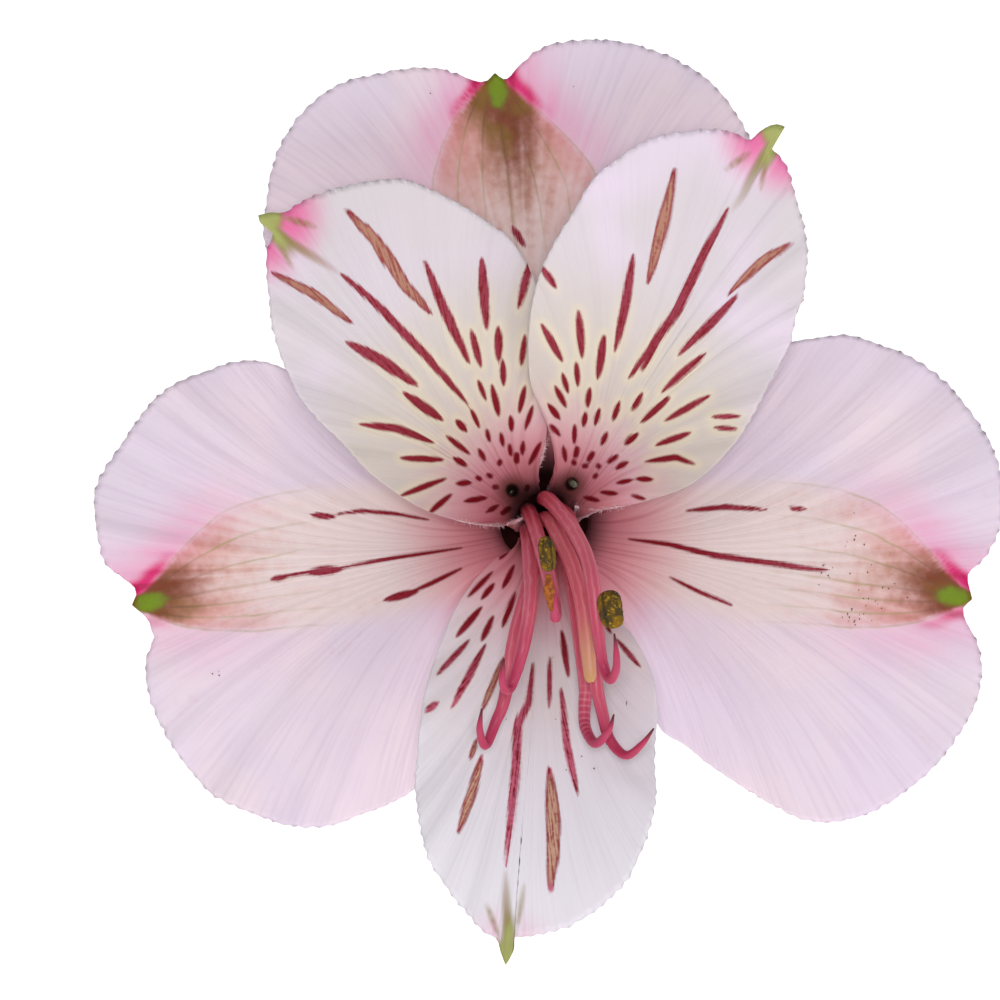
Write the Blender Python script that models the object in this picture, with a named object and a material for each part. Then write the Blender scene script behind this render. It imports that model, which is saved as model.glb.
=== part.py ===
"""An alstroemeria: one open flower on its pedicel, with a cut length of leafy stem.

It lies as a cut stem does. The bloom leans on the tip of its lowest inner tepal and on the
margin of one outer tepal, and the stem lies along the surface behind it. Z = 0 is that
surface, the flower looks along -Y and up, and the stem runs along +Y.
"""

import math

import bpy
import numpy as np

MM = 0.001

# Driving dimensions, in millimetres and degrees
FLOWER_WIDTH = 64.7
ELEVATION = 25.0
ROLL = 13.0
THROAT_PLACE = (-0.6, -38.5, 15.25)
SEAT_GAP = 0.3
TEPAL_THICKNESS = 0.55
CLAW_HALF_WIDTH = 1.2
CLAW_LENGTH_SHARE = 0.07
FILAMENT_RING = 1.35
FILAMENT_BASE = 0.45
FILAMENT_RADIUS = 0.62
FILAMENT_TIP = 0.22
STYLE_BASE = 0.45
STYLE_RADIUS = 0.55
OVARY_LENGTH = 9.0
OVARY_RADIUS = 4.2
PEDICEL_RADIUS = 1.25
STEM_RADIUS = 2.4
STEM_CUT_SLANT = 0.45
LEAF_THICKNESS = 0.6

# How thick each slender piece is at shares of its length, as shares of its own radius
ANTHER_PROFILE = ((0, 0.35), (0.2, 0.85), (0.5, 1.0), (0.8, 0.85), (1, 0.35))
OVARY_PROFILE = ((0, 0.93), (0.1, 1.0), (0.3, 0.98), (0.55, 0.88), (0.8, 0.62), (0.95, 0.40), (1.0, 0.32))
ANTHER_FURROWS = (2, 0.14)
OVARY_RIBS = (6, 0.05)
STEM_NARROWING = 0.95
PEDICEL_STRAIGHT = 4.0

# The flower is drawn from the front on squared paper, x to the right and y down. A square
# is true size at DRAWING_HEIGHT above the throat, and the eye is EYE_HEIGHT above it.
SQUARES_ACROSS = 90.5
SQUARE = FLOWER_WIDTH / SQUARES_ACROSS
DRAWING_CENTRE = (54.5, 52.0)
DRAWING_HEIGHT = 20.0
EYE_HEIGHT = 540.0

# How high a tepal stands above the throat at each distance from the flower's axis
OUTER_RISE = ((3.5, 0), (4.0, 4), (5.4, 9), (8, 13), (12, 16), (18, 18.5), (25, 20), (36, 20.5))
INNER_RISE = ((2.7, 0), (3.1, 5), (4.2, 11.5), (7, 17), (12, 21.5), (18, 24.5), (25, 27), (36, 28.5))

# Each tepal: the direction of its claw, its rise, its tilt and cup about the midrib, and its
# margins from the claw to the tip, the left one as seen from the flower's axis first.
TEPALS = {
    "outer_tepal_top": {
        "angle": 90, "rise": OUTER_RISE, "tilt": 0.0, "cup": -0.003, "tip": (49.5, 7.3),
        "left": (
            (50.5, 43.0), (46.0, 38.5), (40.0, 34.0), (33.0, 30.0), (28.5, 27.3), (26.5, 24.0),
            (26.7, 20.0), (27.5, 16.0), (29.0, 13.0), (31.0, 10.5), (34.0, 8.5), (37.5, 7.6),
            (41.0, 6.9), (44.0, 7.0), (46.5, 7.8), (48.4, 8.2),
        ),
        "right": (
            (58.0, 43.5), (62.0, 39.0), (67.0, 34.0), (72.0, 28.0), (75.2, 22.0), (75.6, 17.0),
            (74.6, 13.3), (72.0, 9.2), (69.0, 6.8), (65.0, 5.0), (61.0, 4.1), (57.5, 4.2),
            (54.5, 4.8), (52.0, 6.5), (50.6, 8.0),
        ),
    },
    "outer_tepal_left": {
        "angle": 210, "rise": OUTER_RISE, "tilt": 0.0, "cup": -0.003, "tip": (13.2, 60.5),
        "left": (
            (49.0, 59.0), (47.0, 64.0), (45.0, 70.0), (43.0, 76.0), (41.5, 78.8), (39.0, 80.3),
            (36.0, 81.5), (33.0, 82.5), (29.0, 82.5), (25.0, 81.2), (21.5, 79.5), (19.0, 77.0),
            (17.0, 74.0), (15.5, 71.0), (14.7, 68.0), (14.8, 65.5), (15.5, 64.0), (14.8, 62.0),
        ),
        "right": (
            (45.5, 51.0), (39.5, 45.5), (33.5, 40.0), (27.7, 36.6), (24.0, 36.2), (21.0, 37.0),
            (18.0, 38.2), (15.5, 40.0), (13.5, 42.5), (11.8, 45.0), (10.5, 47.0), (9.5, 49.5),
            (9.7, 52.5), (10.5, 56.0), (12.0, 57.5), (13.6, 59.0),
        ),
    },
    "outer_tepal_right": {
        "angle": 330, "rise": OUTER_RISE, "tilt": 0.0, "cup": -0.003, "tip": (97.2, 59.9),
        "left": (
            (63.5, 49.5), (69.0, 43.5), (74.0, 37.5), (78.5, 34.5), (82.0, 33.8), (85.0, 33.6),
            (88.0, 34.5), (91.0, 35.7), (94.0, 37.8), (96.5, 40.5), (98.5, 43.5), (99.9, 47.0),
            (100.3, 50.0), (99.8, 53.0), (98.3, 55.8), (96.8, 57.4),
        ),
        "right": (
            (61.5, 59.0), (62.5, 63.0), (64.0, 68.0), (66.0, 72.8), (68.5, 74.5), (71.0, 76.5),
            (74.0, 78.5), (77.5, 80.5), (80.0, 81.8), (83.5, 82.2), (87.0, 81.2), (90.0, 79.5),
            (93.0, 77.0), (95.0, 74.5), (97.2, 71.0), (98.0, 68.0), (97.8, 65.0), (96.3, 61.2),
        ),
    },
    "inner_tepal_upper_left": {
        "angle": 150, "rise": INNER_RISE, "tilt": 0.12, "cup": 0.005, "tip": (25.7, 21.4),
        "left": (
            (47.0, 52.3), (43.0, 51.2), (40.0, 49.5), (37.0, 47.2), (34.5, 44.5), (32.0, 42.0),
            (30.0, 39.5), (28.5, 36.5), (27.5, 33.5), (27.0, 30.0), (26.7, 26.5), (26.5, 23.5),
        ),
        "right": (
            (52.8, 46.8), (54.3, 43.5), (54.6, 39.0), (54.6, 34.0), (54.0, 29.5), (52.5, 26.2),
            (51.0, 24.0), (49.0, 22.5), (46.0, 20.5), (43.0, 19.0), (40.0, 18.0), (36.0, 18.3),
            (32.0, 19.5), (29.0, 21.0), (27.2, 22.0),
        ),
    },
    "inner_tepal_upper_right": {
        "angle": 30, "rise": INNER_RISE, "tilt": 0.12, "cup": 0.005, "tip": (78.2, 12.5),
        "left": (
            (55.6, 47.0), (54.8, 44.0), (54.0, 41.5), (53.0, 38.0), (52.8, 34.0), (53.3, 30.0),
            (54.5, 26.2), (56.0, 23.5), (57.5, 21.0), (59.0, 18.5), (61.0, 16.5), (64.0, 14.5),
            (67.0, 13.5), (70.0, 13.1), (73.0, 13.3), (75.2, 14.2),
        ),
        "right": (
            (62.5, 50.7), (66.0, 49.7), (69.0, 48.5), (71.5, 46.5), (74.0, 43.5), (76.0, 40.0),
            (77.5, 37.0), (79.0, 34.0), (79.5, 31.5), (80.3, 29.0), (80.6, 25.0), (80.0, 21.5),
            (78.7, 18.5), (77.4, 15.6),
        ),
    },
    "inner_tepal_bottom": {
        "angle": 270, "rise": INNER_RISE, "tilt": 0.02, "cup": 0.004, "tip": (50.7, 96.5),
        "left": (
            (59.0, 57.5), (60.0, 59.0), (62.0, 62.0), (63.5, 64.0), (64.8, 66.5), (65.5, 69.0),
            (65.6, 72.0), (65.3, 76.0), (65.5, 79.0), (65.0, 82.0), (64.0, 85.0), (62.5, 88.0),
            (60.0, 90.5), (57.5, 92.2), (54.5, 93.2), (51.8, 93.8),
        ),
        "right": (
            (47.5, 58.0), (45.5, 61.0), (44.0, 64.5), (42.8, 68.0), (42.2, 71.0), (41.8, 75.0),
            (41.6, 79.0), (42.0, 82.5), (43.0, 86.0), (44.5, 88.5), (46.5, 91.0), (48.5, 92.8),
            (49.6, 93.8),
        ),
    },
}

# Each filament: where it starts round the style, then points of the drawing with their
# height above the throat, out to its hooked tip.
FILAMENTS = {
    "filament_front_right": (90, (
        (54.6, 49.9, 12), (55.2, 50.3, 18), (56.7, 52.1, 23.5), (57.9, 54.1, 27), (58.7, 56.0, 29.3),
        (59.2, 58.5, 31), (59.7, 63.0, 31.2), (60.2, 66.3, 30.4), (60.9, 67.9, 31), (61.5, 66.9, 32.3),
        (61.5, 65.0, 33), (61.3, 63.3, 33.2),
    )),
    "filament_centre": (150, (
        (53.0, 51.3, 10), (53.5, 52.6, 18), (54.4, 56.0, 26), (55.2, 60.0, 30), (55.5, 62.0, 31.6),
        (55.4, 62.8, 33), (55.2, 61.3, 34.4), (55.0, 59.0, 34.7), (54.9, 57.6, 34.7),
    )),
    "filament_front_left": (210, (
        (52.8, 53.1, 10), (52.9, 54.5, 19), (53.0, 57.0, 24.5), (53.0, 60.0, 28), (52.3, 64.5, 29.5),
        (51.6, 68.1, 29.2), (50.9, 69.1, 30), (50.4, 68.0, 31.4), (50.4, 65.6, 31.8),
    )),
    "filament_back_left": (270, (
        (54.3, 54.1, 9), (53.8, 55.6, 16), (52.8, 59.0, 21.5), (51.4, 64.0, 25), (50.4, 69.8, 26.5),
        (49.5, 72.2, 26.5), (48.5, 74.5, 27.2), (47.9, 73.0, 28.6), (48.1, 70.8, 29),
    )),
    "filament_back_centre": (330, (
        (56.2, 53.1, 9), (56.6, 55.0, 17), (57.4, 59.0, 22), (58.0, 64.0, 24.3), (58.5, 68.5, 25.3),
        (58.4, 70.8, 25.6), (58.5, 72.8, 26.2), (59.5, 74.3, 28), (60.8, 73.0, 29.8), (61.3, 71.4, 30.2),
    )),
    "filament_back_right": (30, (
        (56.2, 51.1, 11), (57.0, 52.2, 18), (58.3, 56.0, 23.5), (59.2, 61.0, 26), (59.4, 66.0, 27.2),
        (59.6, 68.6, 27.5), (60.2, 71.4, 27.2), (60.9, 73.9, 27), (62.5, 75.5, 28), (64.1, 74.4, 29.4),
        (65.3, 72.8, 29.8),
    )),
}
STYLE = (
    (54.5, 52.0, 0), (54.6, 51.9, 12), (55.1, 52.2, 18), (56.0, 54.0, 22.5), (57.2, 56.6, 26),
    (58.2, 60.3, 28.3), (58.7, 64.5, 29), (59.0, 68.2, 29.2),
)

# Each anther: points of the drawing with their heights, and its half width
ANTHERS = {
    "anther_right": ((61.2, 62.7, 33.5), (60.9, 60.8, 33.9), (60.6, 59.0, 33.7), 0.95),
    "anther_centre": ((54.8, 57.1, 35.0), (54.6, 55.3, 35.2), (54.4, 53.6, 34.8), 0.7),
}

# The pedicel and the stem, as points behind the throat: x, y, and z above the surface
PEDICEL = ((0.3, 20.0, 8.0), (1.2, 32.0, 4.9), (2.2, 44.0, 3.4), (3.0, 55.8, 2.7))
STEM = ((3.1, 56.2, 2.55), (3.2, 71.0, 2.45), (2.0, 86.0, 2.45), (-0.2, 101.0, 2.45), (-2.4, 114.0, 2.45))

# Each leaf: its share of the way along the stem, its side of it, and its length along the
# ground and height at three places, then its half width
LEAVES = {
    "bract_top": (0.02, 95, ((-1.0, -9.0, 5.0), (-3.0, -18.0, 7.5), (-6.0, -27.0, 7.0)), 2.9),
    "bract_left": (0.03, 175, ((-5.0, -8.0, 1.5), (-8.5, -16.0, 1.8), (-12.0, -24.0, 0.2)), 2.8),
    "bract_right": (0.03, 5, ((5.0, -8.0, 1.5), (9.0, -16.0, 1.6), (12.5, -25.0, -0.2)), 2.8),
    "leaf_lower_left": (0.20, 165, ((-9.0, -8.0, 3.0), (-17.0, -18.0, 2.2), (-22.5, -28.0, -2.5)), 4.2),
    "leaf_lower_right": (0.40, 15, ((8.5, -9.0, 3.5), (12.5, -21.0, 2.6), (15.0, -34.0, -2.2)), 4.2),
    "leaf_upper_left": (0.62, 130, ((-4.0, -10.0, 4.0), (-8.5, -22.0, 5.0), (-12.0, -34.0, 3.0)), 3.8),
    "leaf_upper_right": (0.82, 60, ((6.0, -9.0, 3.5), (12.0, -20.0, 3.0), (17.0, -32.0, -0.5)), 3.8),
}

# A leaf's width: a narrow foot that swells and narrows again, drawn in at its two ends
LEAF_FOOT_SHARE = 0.16
LEAF_SWELL = (0.06, 0.94)
LEAF_SWELL_PLACE = 0.8
LEAF_SWELL_POWER = 0.9
LEAF_ENDS = ((0, 0.7), (0.2, 1), (0.85, 1), (1, 0.4))
LEAF_STAND_OFF = 0.9
LEAF_TWIST = 150.0
LEAF_TWIST_SHARE = 0.3
LEAF_TWIST_POWER = 1.5
LEAF_FOLD = 0.18

# How finely each piece is drawn: steps along it, and steps across or round it
TEPAL_ROWS = 10
TEPAL_COLUMNS = 22
LEAF_ROWS = 12
LEAF_COLUMNS = 4
FILAMENT_STEPS = (24, 8)
STYLE_STEPS = (16, 8)
ANTHER_STEPS = (7, 10)
PEDICEL_STEPS = (14, 10)
STEM_STEPS = (16, 14)
OVARY_SIDES = 24
CURVE_STEPS = 12
MARGIN_STEPS = 200
MARGIN_SKIP = 4
VEIN_STEPS = 60
VEIN_BEND = 0.5
LEAST_VEIN_REACH = 0.15
SHARP_ANGLE = 50.0

COLOURS = {
    "outer_tepal": (0.76, 0.60, 0.77),
    "inner_tepal": (0.82, 0.76, 0.78),
    "stamen": (0.55, 0.09, 0.15),
    "anther": (0.20, 0.15, 0.02),
    "green": (0.14, 0.27, 0.05),
    "leaf": (0.07, 0.19, 0.03),
}
ROUGHNESS = 0.5


def clear_scene():
    for found in list(bpy.data.objects):
        bpy.data.objects.remove(found)


def make_materials():
    made = {}
    for name, colour in COLOURS.items():
        material = bpy.data.materials.new(name)
        material.use_nodes = True
        shader = material.node_tree.nodes["Principled BSDF"]
        shader.inputs["Base Color"].default_value = (*colour, 1)
        shader.inputs["Roughness"].default_value = ROUGHNESS
        shader.inputs["Metallic"].default_value = 0
        made[name] = material
    return made


def flower_axes():
    """The flower's right, up and forward directions on the surface that it lies on."""
    lean, roll = math.radians(ELEVATION), math.radians(ROLL)
    level = np.array((1.0, 0.0, 0.0))
    upward = np.array((0.0, math.sin(lean), math.cos(lean)))
    forward = np.array((0.0, -math.cos(lean), math.sin(lean)))
    right = math.cos(roll) * level - math.sin(roll) * upward
    up = math.sin(roll) * level + math.cos(roll) * upward
    return np.stack([right, up, forward])


def from_flower(points):
    """Points given along the flower's own axes, as points on the surface."""
    return np.asarray(points) @ flower_axes() + THROAT_PLACE


def behind_throat(points):
    """Points given by their place behind the throat and their height above the surface."""
    return np.asarray(points, float) + (THROAT_PLACE[0], THROAT_PLACE[1], 0)


def undrawn(points):
    """Points of the drawing, in millimetres from the flower's axis, as large as drawn."""
    return (np.asarray(points, float) - DRAWING_CENTRE) * (SQUARE, -SQUARE)


def true_share(height):
    """A thing nearer the eye than the drawing's own height is drawn larger than it is."""
    return (EYE_HEIGHT - height) / (EYE_HEIGHT - DRAWING_HEIGHT)


def undrawn_with_height(points):
    points = np.asarray(points, float)
    flat = undrawn(points[:, :2]) * true_share(points[:, 2:3])
    return np.hstack([flat, points[:, 2:3]])


def smooth_path(points, count):
    """Points evenly spaced along a smooth curve through the given ones."""
    points = np.asarray(points, float)
    ends = np.vstack([2 * points[0] - points[1], points, 2 * points[-1] - points[-2]])
    u = np.linspace(0, 1, CURVE_STEPS, endpoint=False)[:, None]
    pieces = []
    for a, b, c, d in zip(ends, ends[1:], ends[2:], ends[3:]):
        bend = (2 * a - 5 * b + 4 * c - d) * u**2 + (3 * b - a - 3 * c + d) * u**3
        pieces.append(b + 0.5 * ((c - a) * u + bend))
    curve = np.vstack([*pieces, points[-1:]])
    run = np.concatenate([[0], np.cumsum(np.linalg.norm(np.diff(curve, axis=0), axis=1))])
    at = np.linspace(0, run[-1], count)
    return np.stack([np.interp(at, run, column) for column in curve.T], axis=1)


def unit(vectors):
    return vectors / np.linalg.norm(vectors, axis=-1, keepdims=True)


def add_object(name, points, faces, material):
    mesh = bpy.data.meshes.new(name)
    mesh.from_pydata((np.asarray(points) * MM).tolist(), [], faces)
    mesh.materials.append(material)
    mesh.shade_smooth()
    mesh.set_sharp_from_angle(angle=math.radians(SHARP_ANGLE))
    made = bpy.data.objects.new(name, mesh)
    bpy.context.scene.collection.objects.link(made)


def add_sheet(name, grid, thickness, material):
    """A closed thin solid about a grid of points: a front, a back and the rim between them."""
    rows, columns = grid.shape[:2]
    normal = unit(np.cross(np.gradient(grid, axis=0), np.gradient(grid, axis=1)))
    front = (grid + normal * thickness / 2).reshape(-1, 3)
    back = (grid - normal * thickness / 2).reshape(-1, 3)
    corner = np.arange(rows * columns).reshape(rows, columns)
    quads = np.stack([corner[:-1, :-1], corner[1:, :-1], corner[1:, 1:], corner[:-1, 1:]], axis=-1)
    quads = quads.reshape(-1, 4)
    edge = np.concatenate([corner[:, 0], corner[-1, 1:], corner[-2::-1, -1], corner[0, -2:0:-1]])
    after = np.roll(edge, -1)
    behind = len(front)
    rim = np.stack([after, edge, edge + behind, after + behind], axis=1)
    faces = np.vstack([quads, quads[:, ::-1] + behind, rim])
    add_object(name, np.vstack([front, back]), faces.tolist(), material)


def add_tube(name, path, sides, material, ribs=0, rib_depth=0.0, slant=0.0):
    """A closed solid along a path of centres and radii, ribbed and cut aslant where asked."""
    centres, radii = path[:, :3], path[:, 3]
    along = unit(np.gradient(centres, axis=0))
    turn = np.linspace(0, 2 * math.pi, sides, endpoint=False)
    swell = 1 + rib_depth * np.cos(ribs * turn) if ribs else np.ones(sides)
    side = unit(np.cross(along[0], (0.3, 0.2, 1.0)))
    points = []
    for index, (centre, radius, ahead) in enumerate(zip(centres, radii, along)):
        side = unit(side - ahead * (side @ ahead))
        other = np.cross(ahead, side)
        ring = np.outer(np.cos(turn) * swell, side) + np.outer(np.sin(turn) * swell, other)
        ring = centre + ring * radius
        if index == len(centres) - 1:
            ring += np.outer(np.sin(turn) * radius * slant, ahead)
        points.append(ring)
    points = np.vstack([*points, centres[:1], centres[-1:]])
    start, end = len(points) - 2, len(points) - 1
    last = (len(centres) - 1) * sides
    faces = []
    for ring in range(len(centres) - 1):
        for k in range(sides):
            near, far = ring * sides, (ring + 1) * sides
            beside = (k + 1) % sides
            faces.append((near + k, near + beside, far + beside, far + k))
    for k in range(sides):
        beside = (k + 1) % sides
        faces.append((start, beside, k))
        faces.append((end, last + k, last + beside))
    add_object(name, points, faces, material)


def tepal_grid(shape, rows, columns):
    """Points over a tepal in the flower's own axes, in rows from its claw to its margin."""
    distance, height = np.array(shape["rise"], float).T
    angle = math.radians(shape["angle"])
    outward = np.array((math.cos(angle), math.sin(angle)))
    leftward = np.array((-outward[1], outward[0]))
    claw = outward * distance[0]
    tip = undrawn(shape["tip"])
    margins = []
    for side, name in ((1, "left"), (-1, "right")):
        foot = claw + leftward * CLAW_HALF_WIDTH * side
        drawn = undrawn(shape[name])
        share = true_share(np.interp(np.linalg.norm(drawn, axis=1), distance, height))
        tip_share = true_share(np.interp(np.linalg.norm(tip), distance, height))
        margin = np.vstack([foot, drawn * share[:, None], tip * tip_share])
        margins.append(smooth_path(margin, MARGIN_STEPS))
    margin = np.vstack([margins[0], margins[1][-2::-1]])
    start = int(len(margin) * CLAW_LENGTH_SHARE / 2)
    margin = margin[start:-start]
    half = columns // 2 + 1
    middle = len(margins[0]) - 1 - start
    near = smooth_path(margin[: middle + 1 : MARGIN_SKIP], half)
    far = smooth_path(margin[middle::MARGIN_SKIP], columns + 2 - half)
    margin = np.vstack([near, far[1:]])
    across = np.linspace(1, -1, len(margin))[:, None]
    foot = claw + leftward * CLAW_HALF_WIDTH * across
    midrib = unit(tip - claw)
    reach = np.linalg.norm(margin - foot, axis=1)
    ahead = np.maximum((margin - foot) @ midrib, LEAST_VEIN_REACH * reach)[:, None]
    bend = foot + midrib * VEIN_BEND * ahead
    u = np.linspace(0, 1, VEIN_STEPS)[:, None, None]
    rays = (1 - u) ** 2 * foot + 2 * u * (1 - u) * bend + u**2 * margin
    from_axis = np.linalg.norm(rays, axis=2)
    aside = (rays - claw) @ np.array((-midrib[1], midrib[0]))
    level = np.interp(from_axis, distance, height)
    level += shape["tilt"] * aside + shape["cup"] * aside**2
    solid = np.dstack([rays, level])
    spaced = [smooth_path(solid[:, k], rows) for k in range(len(margin))]
    return np.stack(spaced, axis=1)


def add_tepals(materials):
    for name, shape in TEPALS.items():
        grid = from_flower(tepal_grid(shape, TEPAL_ROWS, TEPAL_COLUMNS))
        kind = "outer_tepal" if name.startswith("outer") else "inner_tepal"
        add_sheet(name, grid, TEPAL_THICKNESS, materials[kind])


def with_radius(points, profile, radius, count):
    """A smooth path of centres with a radius at each, from shares of it along the path."""
    path = smooth_path(points, count)
    stops, shares = np.transpose(profile)
    radii = np.interp(np.linspace(0, 1, count), stops, shares) * radius
    return np.hstack([path, radii[:, None]])


def add_stamens(materials):
    filament = ((0, FILAMENT_BASE), (0.5, FILAMENT_RADIUS), (0.82, FILAMENT_RADIUS), (1, FILAMENT_TIP))
    steps, sides = FILAMENT_STEPS
    for name, (angle, points) in FILAMENTS.items():
        turn = math.radians(angle)
        foot = (FILAMENT_RING * math.cos(turn), FILAMENT_RING * math.sin(turn), 0)
        path = with_radius(np.vstack([foot, undrawn_with_height(points)]), filament, 1, steps)
        path[:, :3] = from_flower(path[:, :3])
        add_tube(name, path, sides, materials["stamen"])
    steps, sides = ANTHER_STEPS
    for name, (*points, half_width) in ANTHERS.items():
        path = with_radius(undrawn_with_height(points), ANTHER_PROFILE, half_width, steps)
        path[:, :3] = from_flower(path[:, :3])
        add_tube(name, path, sides, materials["anther"], *ANTHER_FURROWS)
    steps, sides = STYLE_STEPS
    style = ((0, STYLE_BASE), (0.5, STYLE_RADIUS), (1, STYLE_RADIUS))
    path = with_radius(undrawn_with_height(STYLE), style, 1, steps)
    path[:, :3] = from_flower(path[:, :3])
    add_tube("style", path, sides, materials["stamen"])


def add_ovary(materials):
    share, radii = np.transpose(OVARY_PROFILE)
    centres = np.zeros((len(share), 3))
    centres[:, 2] = -SEAT_GAP - share * OVARY_LENGTH
    path = np.hstack([from_flower(centres), radii[:, None] * OVARY_RADIUS])
    add_tube("ovary", path, OVARY_SIDES, materials["green"], *OVARY_RIBS)


def stem_path():
    return with_radius(behind_throat(STEM), ((0, STEM_NARROWING), (1, 1)), STEM_RADIUS, STEM_STEPS[0])


def add_stems(materials):
    top = from_flower((0, 0, -OVARY_LENGTH - 2 * SEAT_GAP))
    below = from_flower((0, 0, -OVARY_LENGTH - PEDICEL_STRAIGHT))
    route = np.vstack([top, below, behind_throat(PEDICEL)])
    steps, sides = PEDICEL_STEPS
    path = with_radius(route, ((0, 1), (1, 1)), PEDICEL_RADIUS, steps)
    add_tube("pedicel", path, sides, materials["green"])
    add_tube("stem", stem_path(), STEM_STEPS[1], materials["green"], slant=STEM_CUT_SLANT)


def leaf_grid(share, side, offsets, half_width, rows, columns):
    """Points over a leaf, in rows from its twisted foot on the stem to its tip."""
    stem = stem_path()
    place = np.array([np.interp(share, np.linspace(0, 1, len(stem)), part) for part in stem.T])
    turn = math.radians(side)
    outward = np.array((math.cos(turn), 0, math.sin(turn)))
    foot = place[:3] + outward * (place[3] + SEAT_GAP + LEAF_STAND_OFF)
    route = np.vstack([foot, foot + outward + (0, -1.5, 0), foot + np.array(offsets)])
    centres = smooth_path(route, rows)
    along = unit(np.gradient(centres, axis=0))
    level = unit(np.cross((0.0, 0.0, 1.0), along))
    upward = np.cross(along, level)
    u = np.linspace(0, 1, rows)
    swell = np.sin(math.pi * np.clip(u, *LEAF_SWELL) ** LEAF_SWELL_PLACE) ** LEAF_SWELL_POWER
    width = half_width * (LEAF_FOOT_SHARE + (1 - LEAF_FOOT_SHARE) * swell)
    width *= np.interp(u, *np.transpose(LEAF_ENDS))
    twist = math.radians(LEAF_TWIST) * np.clip(1 - u / LEAF_TWIST_SHARE, 0, 1) ** LEAF_TWIST_POWER
    across = level * np.cos(twist)[:, None] + upward * np.sin(twist)[:, None]
    lifted = upward * np.cos(twist)[:, None] - level * np.sin(twist)[:, None]
    v = np.linspace(-1, 1, columns + 1)[None, :, None]
    span = width[:, None, None] * v
    return centres[:, None] + across[:, None] * span + lifted[:, None] * LEAF_FOLD * np.abs(span)


def add_leaves(materials):
    for name, (share, side, offsets, half_width) in LEAVES.items():
        grid = leaf_grid(share, side, offsets, half_width, LEAF_ROWS, LEAF_COLUMNS)
        add_sheet(name, grid, LEAF_THICKNESS, materials["leaf"])


def main():
    clear_scene()
    materials = make_materials()
    add_tepals(materials)
    add_stamens(materials)
    add_ovary(materials)
    add_stems(materials)
    add_leaves(materials)


main()
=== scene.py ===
"""The looks of a cut alstroemeria: one open bloom, its stamens, and its leafy stem behind it.

The flower is drawn from the front on squared paper, as the part is. Its margins, streaks
and stamens are points of that drawing, in squares, x to the right and y down.
"""

import math
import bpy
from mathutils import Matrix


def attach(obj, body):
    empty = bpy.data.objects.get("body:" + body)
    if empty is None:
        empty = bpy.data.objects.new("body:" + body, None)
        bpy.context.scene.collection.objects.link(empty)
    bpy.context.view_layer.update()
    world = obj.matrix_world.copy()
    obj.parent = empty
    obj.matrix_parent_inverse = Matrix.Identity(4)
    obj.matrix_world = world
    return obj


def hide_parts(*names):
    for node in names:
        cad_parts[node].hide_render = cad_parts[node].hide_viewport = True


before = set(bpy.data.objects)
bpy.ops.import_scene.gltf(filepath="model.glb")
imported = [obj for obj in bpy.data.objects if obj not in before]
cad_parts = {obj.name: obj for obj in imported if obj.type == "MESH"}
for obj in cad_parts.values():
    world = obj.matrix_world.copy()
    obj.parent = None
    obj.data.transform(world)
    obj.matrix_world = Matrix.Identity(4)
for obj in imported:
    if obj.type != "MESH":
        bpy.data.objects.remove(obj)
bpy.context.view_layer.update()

from types import SimpleNamespace

import bpy
import numpy as np
from mathutils import Matrix, Vector

MM = 0.001

# The flower's place and pose on the surface, in millimetres and degrees, as in the part
FLOWER_WIDTH = 64.7
ELEVATION = 25.0
ROLL = 13.0
THROAT_PLACE = (-0.6, -38.5, 15.25)
SEAT_GAP = 0.3
OUTER_CLAW = (2.6, 1.2)
INNER_CLAW = (1.7, 0.9)
CLAW_LIP = 10.5
LIP_FADE = (3.6, 2.0)
CLAW_LENGTH_SHARE = 0.07
FILAMENT_RING = 1.35
OVARY_LENGTH = 9.0
STEM_CUT_SLANT = 0.45

# How thick the round pieces are: a share of the length, then the radius there
FILAMENT_RADII = ((0, 0.6), (0.5, 0.55), (0.75, 0.5225), (0.9, 0.3575), (0.965, 0.24), (1, 0.06))
STYLE_RADII = ((0, 0.6), (0.5, 0.56), (0.93, 0.56), (0.965, 0.476), (0.99, 0.448), (1, 0.224))
POLLEN_LOBE_RADII = ((0, 0.152), (0.3, 0.38), (0.7, 0.304), (1, 0.114))
RIM_RADII = ((0, 0.075), (0.15, 0.15), (0.5, 0.135), (1, 0.03))
OVARY_RADII = (
    (0, 3.57), (0.02, 3.99), (0.1, 4.2), (0.3, 4.116), (0.55, 3.696), (0.8, 2.604), (0.95, 1.68), (1, 1.344),
)
PEDICEL_RADII = ((0, 1.375), (0.03, 1.25), (0.95, 1.25), (1, 1.4375))
STEM_RADII = ((0, 1.488), (0.006, 1.968), (0.02, 2.232), (0.05, 2.28), (1, 2.4))

# What a tube's points are turned from, and how long its wobble runs
TUBE_START = (0.3, 0.2, 1.0)
WOBBLE_RUN = 14.0

# The drawing: its squares, its centre, and the eye in front of it
SQUARES_ACROSS = 90.5
SQUARE = FLOWER_WIDTH / SQUARES_ACROSS
PAPER_SQUARES = 100.0
PAPER_CENTRE = (50.0, 50.0)
DRAWING_CENTRE = (54.5, 52.0)
DRAWING_HEIGHT = 20.0
EYE_HEIGHT = 540.0

# How high a tepal stands above the throat at each distance from the flower's axis
OUTER_RISE = ((3.5, 0), (4.0, 4), (5.4, 9), (8, 13), (12, 16), (18, 18.5), (25, 20), (36, 20.5))
INNER_RISE = ((2.1, 0), (2.4, 5), (3.5, 11), (6.5, 16.5), (12, 21.5), (18, 24.5), (25, 27), (36, 28.5))

# How finely a tepal is meshed: its rows crowd towards the claw, and its back is coarser
TEPAL_ROWS = 110
TEPAL_COLUMNS = 520
ROW_CROWDING = 1.3
BACK_STEP = 3
MARGIN_STEPS = 600
RAY_STEPS = 160
RAY_LEAST_AHEAD = 0.15
CURVE_STEPS = 12

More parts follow.
